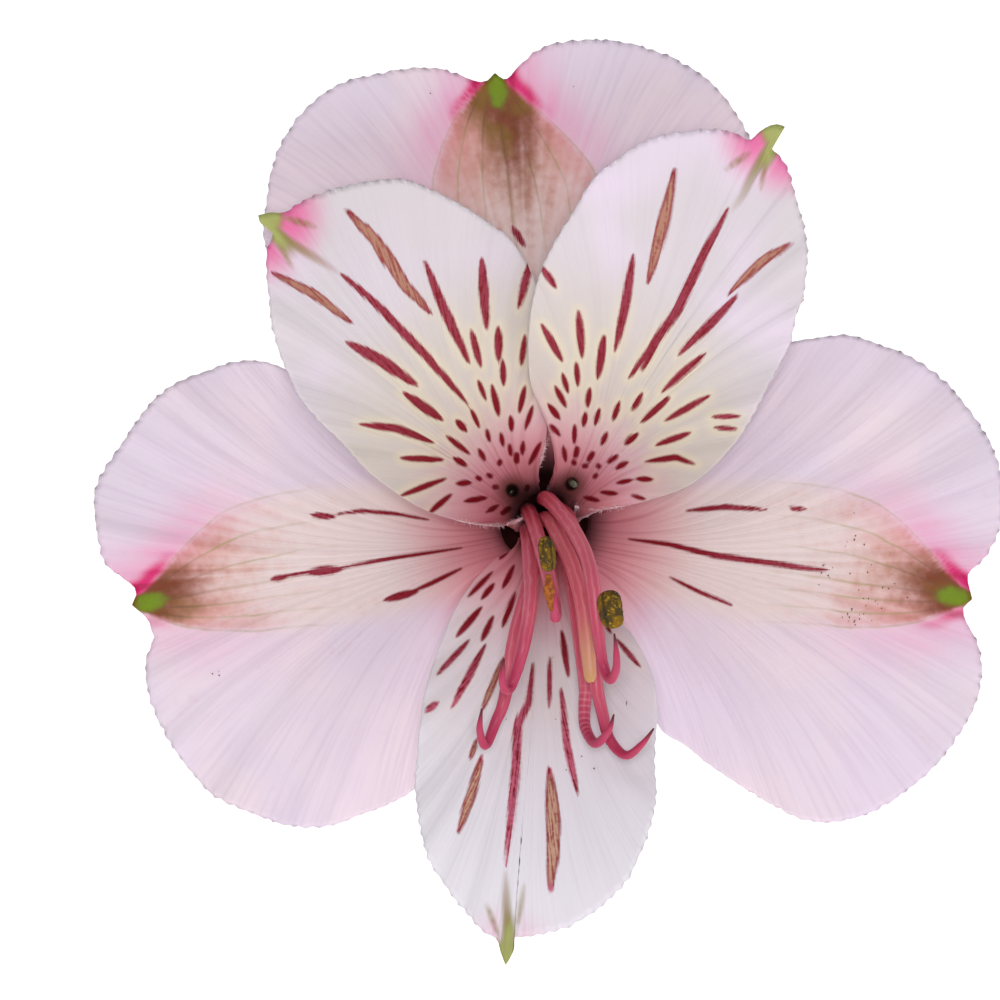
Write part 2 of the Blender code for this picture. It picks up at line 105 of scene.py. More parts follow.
TEPAL_THICKNESS = 0.42
MARGIN_THICKNESS = 0.08
TIP_THICKNESS = 0.5
TOOTH_LENGTH = 0.9
TOOTH_HEIGHT = 0.16
RIPPLE_HEIGHT = 0.34
RIPPLE_RUN = 30.0
RIPPLE_OFF_TIP = (1.5, 7.0)
VEINS_ACROSS = 42
VEIN_RELIEF = 0.01

# Each tepal: the direction of its claw, its tilt and cup about the midrib, and its margins
# from the claw to the tip, the left one as seen from the flower's axis first.
TEPALS = {
    "outer_tepal_top": {
        "angle": 90, "rise": OUTER_RISE, "tilt": 0.0, "cup": -0.003, "tip": (49.5, 7.3),
        "left": (
            (50.5, 43.0), (46.0, 38.5), (40.0, 34.0), (33.0, 30.0), (28.5, 27.3), (26.5, 24.0),
            (26.7, 20.0), (27.5, 16.0), (29.0, 13.0), (31.0, 10.5), (34.0, 8.5), (37.5, 7.6),
            (41.0, 6.9), (44.0, 7.0), (46.5, 7.8), (48.4, 8.2),
        ),
        "right": (
            (58.0, 43.5), (62.0, 39.0), (67.0, 34.0), (72.0, 28.0), (75.2, 22.0), (75.6, 17.0),
            (74.6, 13.3), (72.0, 9.2), (69.0, 6.8), (65.0, 5.0), (61.0, 4.1), (57.5, 4.2),
            (54.5, 4.8), (52.0, 6.5), (50.6, 8.0),
        ),
    },
    "outer_tepal_left": {
        "angle": 210, "rise": OUTER_RISE, "tilt": 0.0, "cup": -0.003, "tip": (13.2, 60.5),
        "left": (
            (49.0, 59.0), (47.0, 64.0), (45.0, 70.0), (43.0, 76.0), (41.5, 78.8), (39.0, 80.3),
            (36.0, 81.5), (33.0, 82.5), (29.0, 82.5), (25.0, 81.2), (21.5, 79.5), (19.0, 77.0),
            (17.0, 74.0), (15.5, 71.0), (14.7, 68.0), (14.8, 65.5), (15.5, 64.0), (14.8, 62.0),
        ),
        "right": (
            (45.5, 51.0), (39.5, 45.5), (33.5, 40.0), (27.7, 36.6), (24.0, 36.2), (21.0, 37.0),
            (18.0, 38.2), (15.5, 40.0), (13.5, 42.5), (11.8, 45.0), (10.5, 47.0), (9.5, 49.5),
            (9.7, 52.5), (10.5, 56.0), (12.0, 57.5), (13.6, 59.0),
        ),
    },
    "outer_tepal_right": {
        "angle": 330, "rise": OUTER_RISE, "tilt": 0.0, "cup": -0.003, "tip": (97.2, 59.9),
        "left": (
            (63.5, 49.5), (69.0, 43.5), (74.0, 37.5), (78.5, 34.5), (82.0, 33.8), (85.0, 33.6),
            (88.0, 34.5), (91.0, 35.7), (94.0, 37.8), (96.5, 40.5), (98.5, 43.5), (99.9, 47.0),
            (100.3, 50.0), (99.8, 53.0), (98.3, 55.8), (96.8, 57.4),
        ),
        "right": (
            (61.5, 59.0), (62.5, 63.0), (64.0, 68.0), (66.0, 72.8), (68.5, 74.5), (71.0, 76.5),
            (74.0, 78.5), (77.5, 80.5), (80.0, 81.8), (83.5, 82.2), (87.0, 81.2), (90.0, 79.5),
            (93.0, 77.0), (95.0, 74.5), (97.2, 71.0), (98.0, 68.0), (97.8, 65.0), (96.3, 61.2),
        ),
    },
    "inner_tepal_upper_left": {
        "angle": 150, "rise": INNER_RISE, "tilt": 0.12, "cup": 0.005, "tip": (25.7, 21.5),
        "left": (
            (53.3, 50.8), (52.8, 51.6), (51.6, 52.2), (50.0, 52.5), (47.0, 52.3), (43.0, 51.2),
            (40.0, 49.5), (37.0, 47.2), (34.5, 44.5), (32.0, 42.0), (30.0, 39.5), (28.5, 36.5),
            (27.5, 33.5), (27.0, 30.0), (26.7, 27.3), (26.7, 25.2), (27.2, 23.7), (27.1, 23.0),
            (26.3, 22.2),
        ),
        "right": (
            (53.2, 49.3), (53.7, 47.2), (54.6, 44.0), (54.8, 39.0), (54.6, 34.0), (54.0, 29.5),
            (52.5, 26.2), (51.0, 24.0), (49.0, 22.5), (46.0, 20.5), (43.0, 19.0), (40.0, 18.0),
            (36.0, 18.3), (32.0, 19.4), (30.0, 20.3), (28.4, 21.2), (27.0, 21.2),
        ),
    },
    "inner_tepal_upper_right": {
        "angle": 30, "rise": INNER_RISE, "tilt": 0.12, "cup": 0.005, "tip": (78.4, 12.6),
        "left": (
            (56.7, 49.6), (56.5, 47.6), (55.9, 45.2), (54.9, 42.6), (53.9, 40.5), (53.0, 38.0),
            (52.8, 34.0), (53.3, 30.0), (54.5, 26.2), (56.0, 23.5), (57.5, 21.0), (59.0, 18.5),
            (61.0, 16.5), (64.0, 14.5), (67.0, 13.5), (70.0, 13.1), (73.0, 13.3), (74.9, 14.1),
            (75.7, 13.3), (76.8, 12.6), (77.7, 12.4),
        ),
        "right": (
            (56.5, 50.6), (57.6, 50.7), (59.4, 50.9), (62.5, 50.6), (66.0, 49.7), (69.0, 48.5),
            (71.5, 46.5), (74.0, 43.5), (76.0, 40.0), (77.5, 37.0), (79.0, 34.0), (79.5, 31.5),
            (80.3, 29.0), (80.6, 25.0), (79.9, 21.3), (79.1, 18.6), (78.6, 16.9), (77.8, 15.5),
            (77.0, 14.8), (76.8, 14.1), (77.3, 13.3), (77.9, 12.8),
        ),
    },
    "inner_tepal_bottom": {
        "angle": 270, "rise": INNER_RISE, "tilt": 0.02, "cup": 0.004, "tip": (50.5, 96.5),
        "left": (
            (57.8, 55.6), (59.0, 57.5), (60.0, 59.0), (62.0, 62.0), (63.5, 64.0), (64.8, 66.5),
            (65.5, 69.0), (65.6, 72.0), (65.3, 76.0), (65.5, 79.0), (65.0, 82.0), (64.0, 85.0),
            (62.5, 88.0), (60.0, 90.5), (57.5, 92.2), (54.5, 93.2), (52.6, 93.6), (51.4, 93.7),
            (51.2, 95.2),
        ),
        "right": (
            (50.4, 55.2), (47.5, 58.0), (45.5, 61.0), (44.0, 64.5), (42.8, 68.0), (42.2, 71.0),
            (41.8, 75.0), (41.6, 79.0), (42.0, 82.5), (43.0, 86.0), (44.5, 88.5), (46.5, 91.0),
            (48.4, 93.1), (49.6, 93.9), (50.0, 95.2),
        ),
    },
}

# How far a streak spreads past its drawn width, and how it narrows towards its ends
STREAK_BLEED = 0.06
STREAK_END_SHARE = 0.12
STREAK_SWELL = 0.75
STREAK_BLUNT = (1.2, 0.3)
NO_STREAK = 9.0

# Streaks of the tepals: a width and then the points that the streak runs through
TAN_STREAKS = {
    "inner_tepal_upper_left": (
        (1.2, 34.5, 20.9, 37.5, 24.0, 40.5, 28.5, 43.0, 31.3), (0.8, 27.1, 27.2, 31.5, 29.5, 35.2, 32.3),
    ),
    "inner_tepal_upper_right": (
        (1.1, 67.5, 16.7, 66.3, 22.0, 64.7, 28.3), (0.9, 79.2, 24.2, 76.0, 26.2, 72.8, 29.3),
    ),
    "inner_tepal_bottom": (
        (1.3, 54.9, 76.8, 55.3, 83.0, 55.0, 89.3), (0.9, 48.1, 75.6, 47.2, 79.0, 45.7, 83.4),
        (0.6, 50.3, 65.9, 48.2, 71.2), (0.5, 47.6, 73.9, 47.0, 76.0),
    ),
}
RED_STREAKS = {
    "inner_tepal_upper_left": (
        (0.8, 34.0, 27.3, 37.5, 30.3, 42.5, 35.5, 46.7, 40.3), (0.9, 42.3, 25.9, 44.0, 30.0, 46.8, 36.2),
        (0.9, 48.1, 25.8, 48.6, 32.9), (0.7, 53.1, 25.9, 51.8, 30.8), (0.6, 47.0, 32.9, 48.0, 36.6),
        (0.7, 49.8, 32.5, 49.8, 36.0), (0.6, 50.2, 35.9, 50.3, 38.4), (0.5, 52.5, 33.4, 52.1, 36.4),
        (1.1, 34.5, 34.1, 38.0, 36.0, 41.6, 38.5), (0.9, 40.2, 39.2, 44.1, 41.9),
        (0.7, 35.9, 42.4, 39.5, 42.8, 43.2, 44.2), (0.6, 40.0, 45.8, 44.1, 45.9),
        (0.5, 40.0, 49.6, 44.4, 47.8), (0.5, 42.9, 51.3, 45.0, 49.4), (0.7, 45.5, 41.9, 46.5, 43.0),
        (0.5, 44.5, 43.5, 46.8, 45.3), (0.6, 45.2, 45.7, 46.5, 46.5), (0.5, 45.5, 48.3, 46.9, 48.2),
        (0.5, 46.3, 50.1, 48.5, 49.7), (0.4, 48.5, 51.2, 49.6, 50.5), (0.5, 50.1, 51.3, 50.7, 50.8),
        (0.4, 47.7, 37.9, 48.5, 39.9), (0.6, 49.1, 38.3, 49.8, 41.4), (0.5, 52.5, 38.5, 51.9, 41.1),
        (0.4, 47.0, 40.8, 47.8, 42.6), (0.4, 48.6, 42.9, 48.8, 43.9), (0.5, 51.0, 41.4, 51.1, 42.9),
        (0.5, 53.3, 40.5, 52.5, 42.8), (0.4, 50.0, 43.2, 50.2, 44.4), (0.5, 47.8, 44.9, 48.3, 45.8),
        (0.4, 50.9, 44.4, 51.0, 45.2), (0.5, 52.3, 44.1, 52.2, 45.1), (0.5, 51.6, 45.3, 51.6, 45.9),
        (0.5, 54.1, 44.2, 52.9, 46.2), (0.4, 49.9, 46.0, 49.8, 46.2), (0.4, 48.7, 47.4, 48.9, 47.5),
        (0.4, 47.6, 47.7, 47.8, 47.8), (0.4, 49.3, 48.6, 49.5, 48.6), (0.4, 52.7, 48.5, 52.6, 48.7),
    ),
    "inner_tepal_upper_right": (
        (0.9, 72.8, 20.7, 70.5, 25.0, 67.7, 30.9, 65.0, 34.8, 62.9, 37.7),
        (0.9, 73.7, 29.4, 71.0, 32.3, 67.8, 35.4), (0.7, 70.5, 35.3, 68.4, 37.0, 66.2, 39.1),
        (0.9, 63.3, 25.4, 62.6, 30.0, 61.5, 35.0), (0.5, 65.8, 34.1, 64.1, 37.0),
        (0.7, 60.4, 33.4, 59.8, 37.7), (0.7, 57.8, 30.9, 58.2, 35.6), (0.7, 54.1, 32.4, 56.2, 36.0),
        (0.6, 54.1, 26.6, 55.5, 28.7), (0.6, 67.0, 39.6, 64.2, 42.1), (0.6, 71.0, 39.5, 66.6, 42.0),
        (0.5, 64.3, 39.2, 63.3, 40.9), (0.5, 62.0, 40.0, 61.4, 41.9), (0.5, 60.0, 40.7, 59.6, 42.3),
        (0.5, 59.0, 38.6, 58.8, 40.5), (0.5, 57.6, 36.1, 57.8, 38.4), (0.5, 56.2, 37.2, 56.8, 39.1),
        (0.5, 55.5, 38.5, 56.6, 40.5), (0.6, 54.8, 40.3, 56.0, 41.7), (0.5, 55.1, 42.4, 56.0, 43.3),
        (0.6, 69.1, 43.2, 65.7, 44.4), (0.6, 63.9, 43.2, 62.6, 44.3), (0.5, 60.8, 43.1, 60.3, 44.3),
        (0.5, 58.6, 41.1, 58.4, 42.4), (0.4, 57.5, 42.3, 57.5, 44.1),
        (0.5, 64.7, 46.1, 67.7, 45.7, 69.5, 46.4), (0.4, 61.9, 48.2, 63.4, 47.9),
        (0.5, 63.8, 47.8, 65.4, 47.9), (0.5, 61.8, 45.5, 61.1, 46.0), (0.5, 62.9, 46.1, 61.9, 46.7),
        (0.4, 60.3, 49.1, 62.0, 49.3), (0.4, 58.7, 49.6, 60.2, 50.0), (0.4, 63.4, 49.5, 64.5, 49.9),
        (0.4, 71.2, 41.6, 74.0, 41.6), (0.4, 71.4, 42.7, 73.7, 42.9), (0.5, 57.8, 44.7, 57.7, 45.3),
        (0.5, 59.4, 45.2, 59.1, 45.7), (0.4, 56.4, 44.4, 56.7, 45.9), (0.4, 58.6, 46.4, 58.8, 46.4),
        (0.4, 60.0, 46.4, 60.1, 46.5), (0.4, 59.7, 47.5, 59.8, 47.4), (0.4, 57.5, 46.0, 57.6, 46.1),
    ),
    "inner_tepal_bottom": (
        (0.4, 48.9, 56.3, 45.6, 59.0), (0.4, 49.2, 57.3, 46.8, 59.7), (0.5, 49.3, 58.5, 48.1, 60.0),
        (0.5, 51.3, 56.8, 50.2, 59.0), (0.4, 51.0, 54.8, 50.0, 56.0), (0.4, 50.6, 54.3, 50.2, 54.8),
        (0.3, 49.3, 54.4, 48.0, 55.5), (0.5, 51.5, 59.5, 50.2, 62.9), (0.6, 48.1, 60.8, 45.6, 63.7),
        (0.5, 49.3, 61.8, 48.1, 64.2), (0.5, 46.9, 64.1, 43.7, 67.5), (0.6, 48.5, 64.6, 45.1, 70.8),
        (0.5, 56.2, 63.3, 56.9, 67.8), (0.4, 55.0, 65.9, 54.9, 71.0),
        (0.8, 53.3, 66.5, 52.8, 70.5, 51.8, 72.4, 51.5, 77.5, 50.5, 86.7),
        (0.7, 56.1, 69.0, 56.7, 74.5, 57.7, 79.6), (0.6, 42.5, 71.2, 43.8, 70.2),
        (0.4, 61.7, 64.0, 64.0, 66.7), (0.3, 60.1, 57.7, 60.3, 58.8), (0.3, 60.6, 62.4, 61.1, 63.3),
    ),
    "outer_tepal_left": (
        (0.6, 31.0, 51.5, 33.4, 51.7), (0.3, 33.0, 51.6, 34.4, 51.3, 36.1, 51.1, 39.5, 51.4, 42.7, 52.0),
        (0.5, 27.0, 58.0, 28.6, 57.7), (0.3, 28.0, 57.7, 30.0, 57.4, 31.7, 57.0),
        (0.8, 30.5, 57.3, 34.2, 56.9), (0.3, 33.0, 57.0, 39.5, 55.8, 46.0, 54.9),
        (0.7, 38.3, 60.1, 41.7, 59.2), (0.35, 41.0, 59.3, 43.1, 58.4, 46.0, 57.0),
    ),
    "outer_tepal_right": (
        (0.45, 68.8, 51.1, 72.8, 50.7, 76.9, 51.0), (0.5, 79.0, 50.8, 80.7, 50.9),
        (0.5, 63.2, 54.0, 67.2, 54.5, 71.7, 55.6, 75.6, 56.1, 80.4, 56.8, 82.9, 57.0),
        (0.35, 67.2, 57.8, 70.0, 59.2, 73.4, 60.6),
    ),
    "outer_tepal_top": ((0.6, 51.2, 22.6, 52.5, 24.6),),
}

# Olive and dark veins that run into an inner tepal's tip: a width and then their points
OLIVE_VEINS = {
    "inner_tepal_upper_left": (
        (0.9, 26.4, 22.0, 29.0, 24.2, 31.5, 25.8, 34.2, 27.5), (0.5, 27.4, 23.6, 29.2, 26.8),
        (0.7, 28.3, 21.7, 31.6, 22.7),
    ),
    "inner_tepal_upper_right": (
        (0.9, 76.8, 14.2, 75.4, 17.0, 74.2, 19.5, 73.0, 21.2), (0.5, 76.6, 15.4, 76.0, 19.0),
        (0.7, 74.9, 15.2, 72.4, 17.0),
    ),
    "inner_tepal_bottom": (
        (0.9, 50.7, 95.0, 50.6, 91.0, 50.5, 87.0), (0.5, 49.8, 93.6, 48.5, 90.2),
        (0.5, 51.7, 92.6, 52.4, 88.2),
    ),
}

# The nectar pit of each upper inner tepal
PITS = {"inner_tepal_upper_left": (51.1, 48.9), "inner_tepal_upper_right": (57.4, 48.2)}

# An outer tepal's veined fan: the distance from the tip, then its half width on the broad
# side and on the slim side. For each tepal: which side is broad, how broad each side is, how
# red the slim one's edge is, and how far the brown and the rosy tint reach.
FAN_WIDTHS = (
    (-4, 0.3, 0.3), (0, 0.5, 0.4), (1.6, 1.4, 1.2), (3.4, 2.8, 2.1), (5.7, 4.5, 2.8),
    (8.1, 5.7, 3.2), (12, 6.2, 3.5), (16, 6.0, 3.8), (24, 4.6, 3.2), (32, 2.0, 1.6),
)
FANS = {
    "outer_tepal_top": (-1, 1.1, 1.75, 0.95, 8.5, 11.5),
    "outer_tepal_left": (-1, 1.0, 1.0, 0.45, 5.8, 9.5),
    "outer_tepal_right": (1, 1.05, 1.0, 0.65, 5.8, 9.5),
}

# Where the fan's veins run: a share of its half width, then the vein's number
FAN_VEINS = (
    (-1.17, 0.5), (-1, 1), (-0.66, 2), (-0.33, 3), (0, 4), (0.3, 5), (0.62, 6), (1, 7), (1.17, 7.5),
)

# Where the painted shade of the throat ends and where it is full, on each outer tepal
THROAT_SHADE_REACH = {
    "outer_tepal_top": (7.5, 3.2), "outer_tepal_left": (4.6, 2.2), "outer_tepal_right": (5.6, 2.6),
}

# How faded a tepal's streaks are, and how cream, how white and how flushed the tepal is; the bottom tepal's
# whiteness is partly its own paler colour and partly painted light for the lower light that falls on it
USUAL_LOOK = (0.3, 1.0, 0.0, 1.0)
TEPAL_LOOKS = {"inner_tepal_bottom": (1.0, 0.2, 0.75, 0.45)}

# The share of some values that is left on the back of a tepal
BACK_SHARES = {
    "brown": 0.5, "rosy": 0.5, "flare": 0.7, "throat": 0.4, "deep": 0.0, "depth": 0.25, "pit": 0.0,
}

# Each filament: where it starts round the style, then points of the drawing with their
# height above the throat, out to its hooked tip.
FILAMENTS = {
    "filament_front_right": (90, (
        (54.6, 49.9, 12), (55.2, 50.3, 18), (56.7, 52.1, 23.5), (57.9, 54.1, 27), (58.7, 56.0, 29.3),
        (59.2, 58.5, 31), (59.7, 63.0, 31.2), (60.2, 66.3, 30.4), (60.9, 67.9, 31), (61.5, 66.9, 32.3),
        (61.5, 65.0, 33), (61.3, 63.3, 33.2),
    )),
    "filament_centre": (150, (
        (53.0, 51.3, 10), (53.5, 52.6, 18), (54.4, 56.0, 26), (55.3, 60.0, 30), (55.5, 61.2, 31.6),
        (55.4, 61.7, 33), (55.3, 60.5, 34.4), (55.1, 59.0, 34.7), (54.9, 57.6, 34.7),
    )),
    "filament_front_left": (210, (
        (52.8, 53.1, 10), (52.9, 54.5, 19), (53.0, 57.0, 24.5), (53.0, 60.0, 28), (52.3, 64.5, 29.5),
        (51.2, 68.2, 29.2), (50.6, 69.0, 30), (50.1, 68.0, 31.4), (50.3, 65.8, 31.8),
    )),
    "filament_back_left": (270, (
        (54.3, 54.1, 9), (53.8, 55.6, 16), (52.8, 59.0, 21.5), (51.4, 64.0, 25), (50.4, 69.8, 26.5),
        (49.5, 72.2, 26.5), (48.5, 74.5, 27.2), (47.9, 73.0, 28.6), (48.1, 70.8, 29),
    )),
    "filament_back_centre": (330, (
        (56.2, 53.1, 9), (56.6, 55.0, 17), (57.4, 59.0, 22), (58.0, 64.0, 24.3), (58.5, 68.5, 25.3),
        (58.4, 70.8, 25.6), (58.5, 72.8, 26.2), (59.5, 74.3, 28), (60.8, 73.0, 29.8), (61.3, 71.4, 30.2),
    )),
    "filament_back_right": (30, (
        (56.2, 51.1, 11), (57.0, 52.2, 18), (58.3, 56.0, 23.5), (59.2, 61.0, 26), (59.4, 66.0, 27.2),
        (59.6, 68.6, 27.5), (60.2, 71.4, 27.2), (60.9, 73.9, 27), (62.5, 75.5, 28), (64.1, 74.4, 29.4),
        (65.3, 72.8, 29.8),
    )),
}
RINGED_FILAMENT = "filament_back_centre"
STYLE = (
    (54.5, 52.0, 0), (54.6, 51.9, 12), (55.1, 52.2, 18), (56.0, 54.0, 22.5), (57.2, 56.6, 26),
    (58.2, 60.3, 28.3), (58.7, 64.5, 29), (59.0, 68.2, 29.2),
)
ANTHERS = {
    "anther_right": ((61.2, 62.7, 33.5), (60.9, 60.8, 33.9), (60.6, 59.0, 33.7), 0.95),
    "anther_centre": ((54.8, 57.1, 35.0), (54.6, 55.3, 35.2), (54.4, 53.6, 34.8), 0.64),
}

# The open lobe of pollen that hangs from the middle anther
POLLEN_LOBE = ((54.7, 57.4, 35.2), (54.8, 59.2, 35.0), (55.0, 61.0, 34.6))

# Grains of pollen that fell on the tepals: a place on the drawing, a spread and a number
GRAINS = {
    "outer_tepal_right": (
        (85.7, 54.2, 0.5, 6), (87.4, 60.2, 0.6, 7), (85.5, 61.8, 0.6, 12), (82.4, 57.2, 0.5, 5),
        (90.6, 59.7, 0.0, 1), (86.0, 58.0, 2.5, 14),
    ),
    "outer_tepal_top": ((43.0, 9.3, 0.0, 1), (57.4, 8.4, 0.0, 1)),
    "outer_tepal_left": ((21.5, 67.2, 0.3, 3),),
    "inner_tepal_bottom": (
        (55.5, 71.9, 0.0, 1), (62.6, 70.2, 0.1, 3), (59.2, 76.8, 0.0, 1), (58.2, 75.6, 0.0, 1),
        (50.6, 71.9, 0.0, 1), (55.3, 65.8, 0.1, 2), (56.5, 76.8, 0.0, 1),
    ),
}
GRAIN_RADIUS = (0.035, 0.075)
GRAIN_LIFT = 0.252
GRAIN_SIDES = (
    (0, 1, 2, 2), (1, 3, 2, 2), (3, 4, 2, 2), (4, 0, 2, 2),
    (1, 0, 5, 5), (3, 1, 5, 5), (4, 3, 5, 5), (0, 4, 5, 5),
)

# The pale hairy rims of the claws, up to a distance from the flower's axis
RIM_REACH = 6.5
HAIRS = 110
HAIR_ROOT = 0.12
HAIR_LENGTH = (0.14, 0.4)
HAIR_LEAN = 0.15
HAIR_RADIUS = 0.022
HAIR_SIDES = ((0, 1, 3, 3), (1, 2, 3, 3), (2, 0, 3, 3), (0, 2, 1, 1))

# The nectar in the pits: a place on the drawing with its height, and a radius
NECTAR = {
    "inner_tepal_upper_left": (51.2, 49.2, 10.6, 0.22),
    "inner_tepal_upper_right": (57.5, 48.2, 11.4, 0.45),
}

# The pedicel and the stem, as points behind the throat: x, y, and z above the surface
PEDICEL = ((0.3, 20.0, 8.0), (1.2, 32.0, 4.9), (2.2, 44.0, 3.4), (3.0, 55.8, 2.7), (3.1, 57.0, 2.55))
STEM = ((3.1, 56.2, 2.55), (3.2, 71.0, 2.45), (2.0, 86.0, 2.45), (-0.2, 101.0, 2.45), (-2.4, 114.0, 2.45))

# Each leaf: its share of the way along the stem, its side of it, and its length along the
# ground and height at three places, then its half width
LEAVES = {
    "bract_top": (0.02, 95, ((-1.0, -9.0, 5.0), (-3.0, -18.0, 7.5), (-6.0, -27.0, 7.0)), 2.9),
    "bract_left": (0.03, 175, ((-5.0, -8.0, 1.5), (-8.5, -16.0, 1.8), (-12.0, -24.0, 0.2)), 2.8),
    "bract_right": (0.03, 5, ((5.0, -8.0, 1.5), (9.0, -16.0, 1.6), (12.5, -25.0, -0.2)), 2.8),
    "leaf_lower_left": (0.20, 165, ((-9.0, -8.0, 3.0), (-17.0, -18.0, 2.2), (-22.5, -28.0, -2.5)), 4.2),
    "leaf_lower_right": (0.40, 15, ((8.5, -9.0, 3.5), (12.5, -21.0, 2.6), (15.0, -34.0, -2.2)), 4.2),
    "leaf_upper_left": (0.62, 130, ((-4.0, -10.0, 4.0), (-8.5, -22.0, 5.0), (-12.0, -34.0, 3.0)), 3.8),
    "leaf_upper_right": (0.82, 60, ((6.0, -9.0, 3.5), (12.0, -20.0, 3.0), (17.0, -32.0, -0.5)), 3.8),
}
LEAF_THICKNESS = 0.35
LEAF_ROWS = 96
LEAF_COLUMNS = 36
LEAF_TWIST = 150.0
LEAF_TWIST_SHARE = 0.3
LEAF_FOLD = 0.18
LEAF_STALK = 0.9
LEAF_PLEATS = 9
PLEAT_DEPTH = 0.03

# The lights: a place along the flower's axes, how wide the light is, and its power in watts
LIGHTS = {"key": ((-120, 320, 380), 260, 0.3), "front": ((0, 30, 640), 160, 1.4)}
LIGHT_TARGET = (0, 0, 15)
WORLD_STRENGTH = 0.27
FLOOR_HALF_WIDTH = 4000.0
FLOOR_GREY = 0.93
FLOOR_GLOW = 0.8
FILM_WIDTH = 36.0


# Geometry

def flower_axes():
    """The flower's right, up and forward directions on the surface that it lies on."""
    lean, roll = math.radians(ELEVATION), math.radians(ROLL)
    level = np.array((1.0, 0.0, 0.0))
    upward = np.array((0.0, math.sin(lean), math.cos(lean)))
    forward = np.array((0.0, -math.cos(lean), math.sin(lean)))
    right = math.cos(roll) * level - math.sin(roll) * upward
    up = math.sin(roll) * level + math.cos(roll) * upward
    return np.stack([right, up, forward])


def from_flower(points):
    """Points given along the flower's own axes, as points on the surface."""
    return np.asarray(points) @ flower_axes() + THROAT_PLACE


def behind_throat(points):
    """Points given by their place behind the throat and their height above the surface."""
    return np.asarray(points, float) + (THROAT_PLACE[0], THROAT_PLACE[1], 0)


def undrawn(points):
    """Points of the drawing, in millimetres from the flower's axis, as large as drawn."""
    return (np.asarray(points, float) - DRAWING_CENTRE) * (SQUARE, -SQUARE)


def true_share(height):
    """A thing nearer the eye than the drawing's own height is drawn larger than it is."""
    return (EYE_HEIGHT - height) / (EYE_HEIGHT - DRAWING_HEIGHT)


def undrawn_with_height(points):
    points = np.asarray(points, float)
    height = points[:, 2:]
    return np.hstack([undrawn(points[:, :2]) * true_share(height), height])


def drawn_place(grid):
    """Where points of the flower show in the drawing, in millimetres from its centre."""
    return grid[:, :, :2] / true_share(grid[:, :, 2:])


def dense_curve(points):
    """A Catmull-Rom curve through the points, as many short steps."""
    points = np.asarray(points, float)
    ends = np.vstack([2 * points[0] - points[1], points, 2 * points[-1] - points[-2]])
    u = np.linspace(0, 1, CURVE_STEPS, endpoint=False)[:, None]
    pieces = []
    for a, b, c, d in zip(ends, ends[1:], ends[2:], ends[3:]):
        bend = (2 * a - 5 * b + 4 * c - d) * u**2 + (3 * b - a - 3 * c + d) * u**3
        pieces.append(b + 0.5 * ((c - a) * u + bend))
    return np.vstack([*pieces, points[-1:]])


def spaced_by(curve, shares):
    """Points at shares of the length of a line of short steps."""
    run = np.concatenate([[0], np.cumsum(np.linalg.norm(np.diff(curve, axis=0), axis=1))])
    return np.stack([np.interp(shares * run[-1], run, column) for column in curve.T], axis=1)


def evenly(curve, count):
    return spaced_by(curve, np.linspace(0, 1, count))


def smooth_path(points, count):
    return evenly(dense_curve(points), count)


def with_radius(points, radii, count):
    """A smooth path of centres with radii, which are given at shares of its length."""
    radius = np.interp(np.linspace(0, 1, count), *np.transpose(radii))
    return np.hstack([smooth_path(points, count), radius[:, None]])


def flower_path(points, radii, count):
    """The same for points along the flower's own axes."""
    path = with_radius(points, radii, count)
    path[:, :3] = from_flower(path[:, :3])
    return path


def unit(vectors):
    return vectors / np.linalg.norm(vectors, axis=-1, keepdims=True)


def rise_at(rise, distance):
    """The height of a tepal at distances from the axis, on a smooth curve."""
    return np.interp(distance, *dense_curve(rise).T)


def smoothstep(start, end, value):
    """A smooth change from 0 to 1 as the value goes from start to end, up or down."""
    share = np.clip((value - start) / (end - start), 0, 1)
    return share * share * (3 - 2 * share)


def bell(value, width):
    """1 where the value is 0, and nearly 0 at twice the width."""
    return np.exp(-((value / width) ** 2))


def waves(position, seed):
    """A smooth irregular wave along a line, about from -1 to 1, the same for one seed."""
    rng = np.random.default_rng(seed)
    total = np.zeros_like(position)
    for k in range(1, 6):
        total += np.sin(position * rng.uniform(0.6, 1.6) * k + rng.uniform(0, 6.28)) / k
    return total / 1.8


def toothed(margin, seed):
    """The margin with small teeth along it, none near the claw and the tip."""
    step = np.gradient(margin, axis=0)
    outward = unit(np.stack([step[:, 1], -step[:, 0]], axis=1))
    run = np.cumsum(np.linalg.norm(step, axis=1))
    drift = waves(run * 0.4, seed) * 0.35
    saw = 1 - np.abs(((run / TOOTH_LENGTH + drift) % 1.0) * 2 - 1)
    height = TOOTH_HEIGHT * (1 + 0.5 * waves(run * 0.9, seed + 1))
    off_claw = smoothstep(0.1, 0.28, 0.5 - np.abs(run / run[-1] - 0.5))
    off_tip = smoothstep(1.5, 3.0, np.linalg.norm(margin - margin[len(margin) // 2], axis=1))
    return margin + outward * (saw * height * off_claw * off_tip)[:, None]


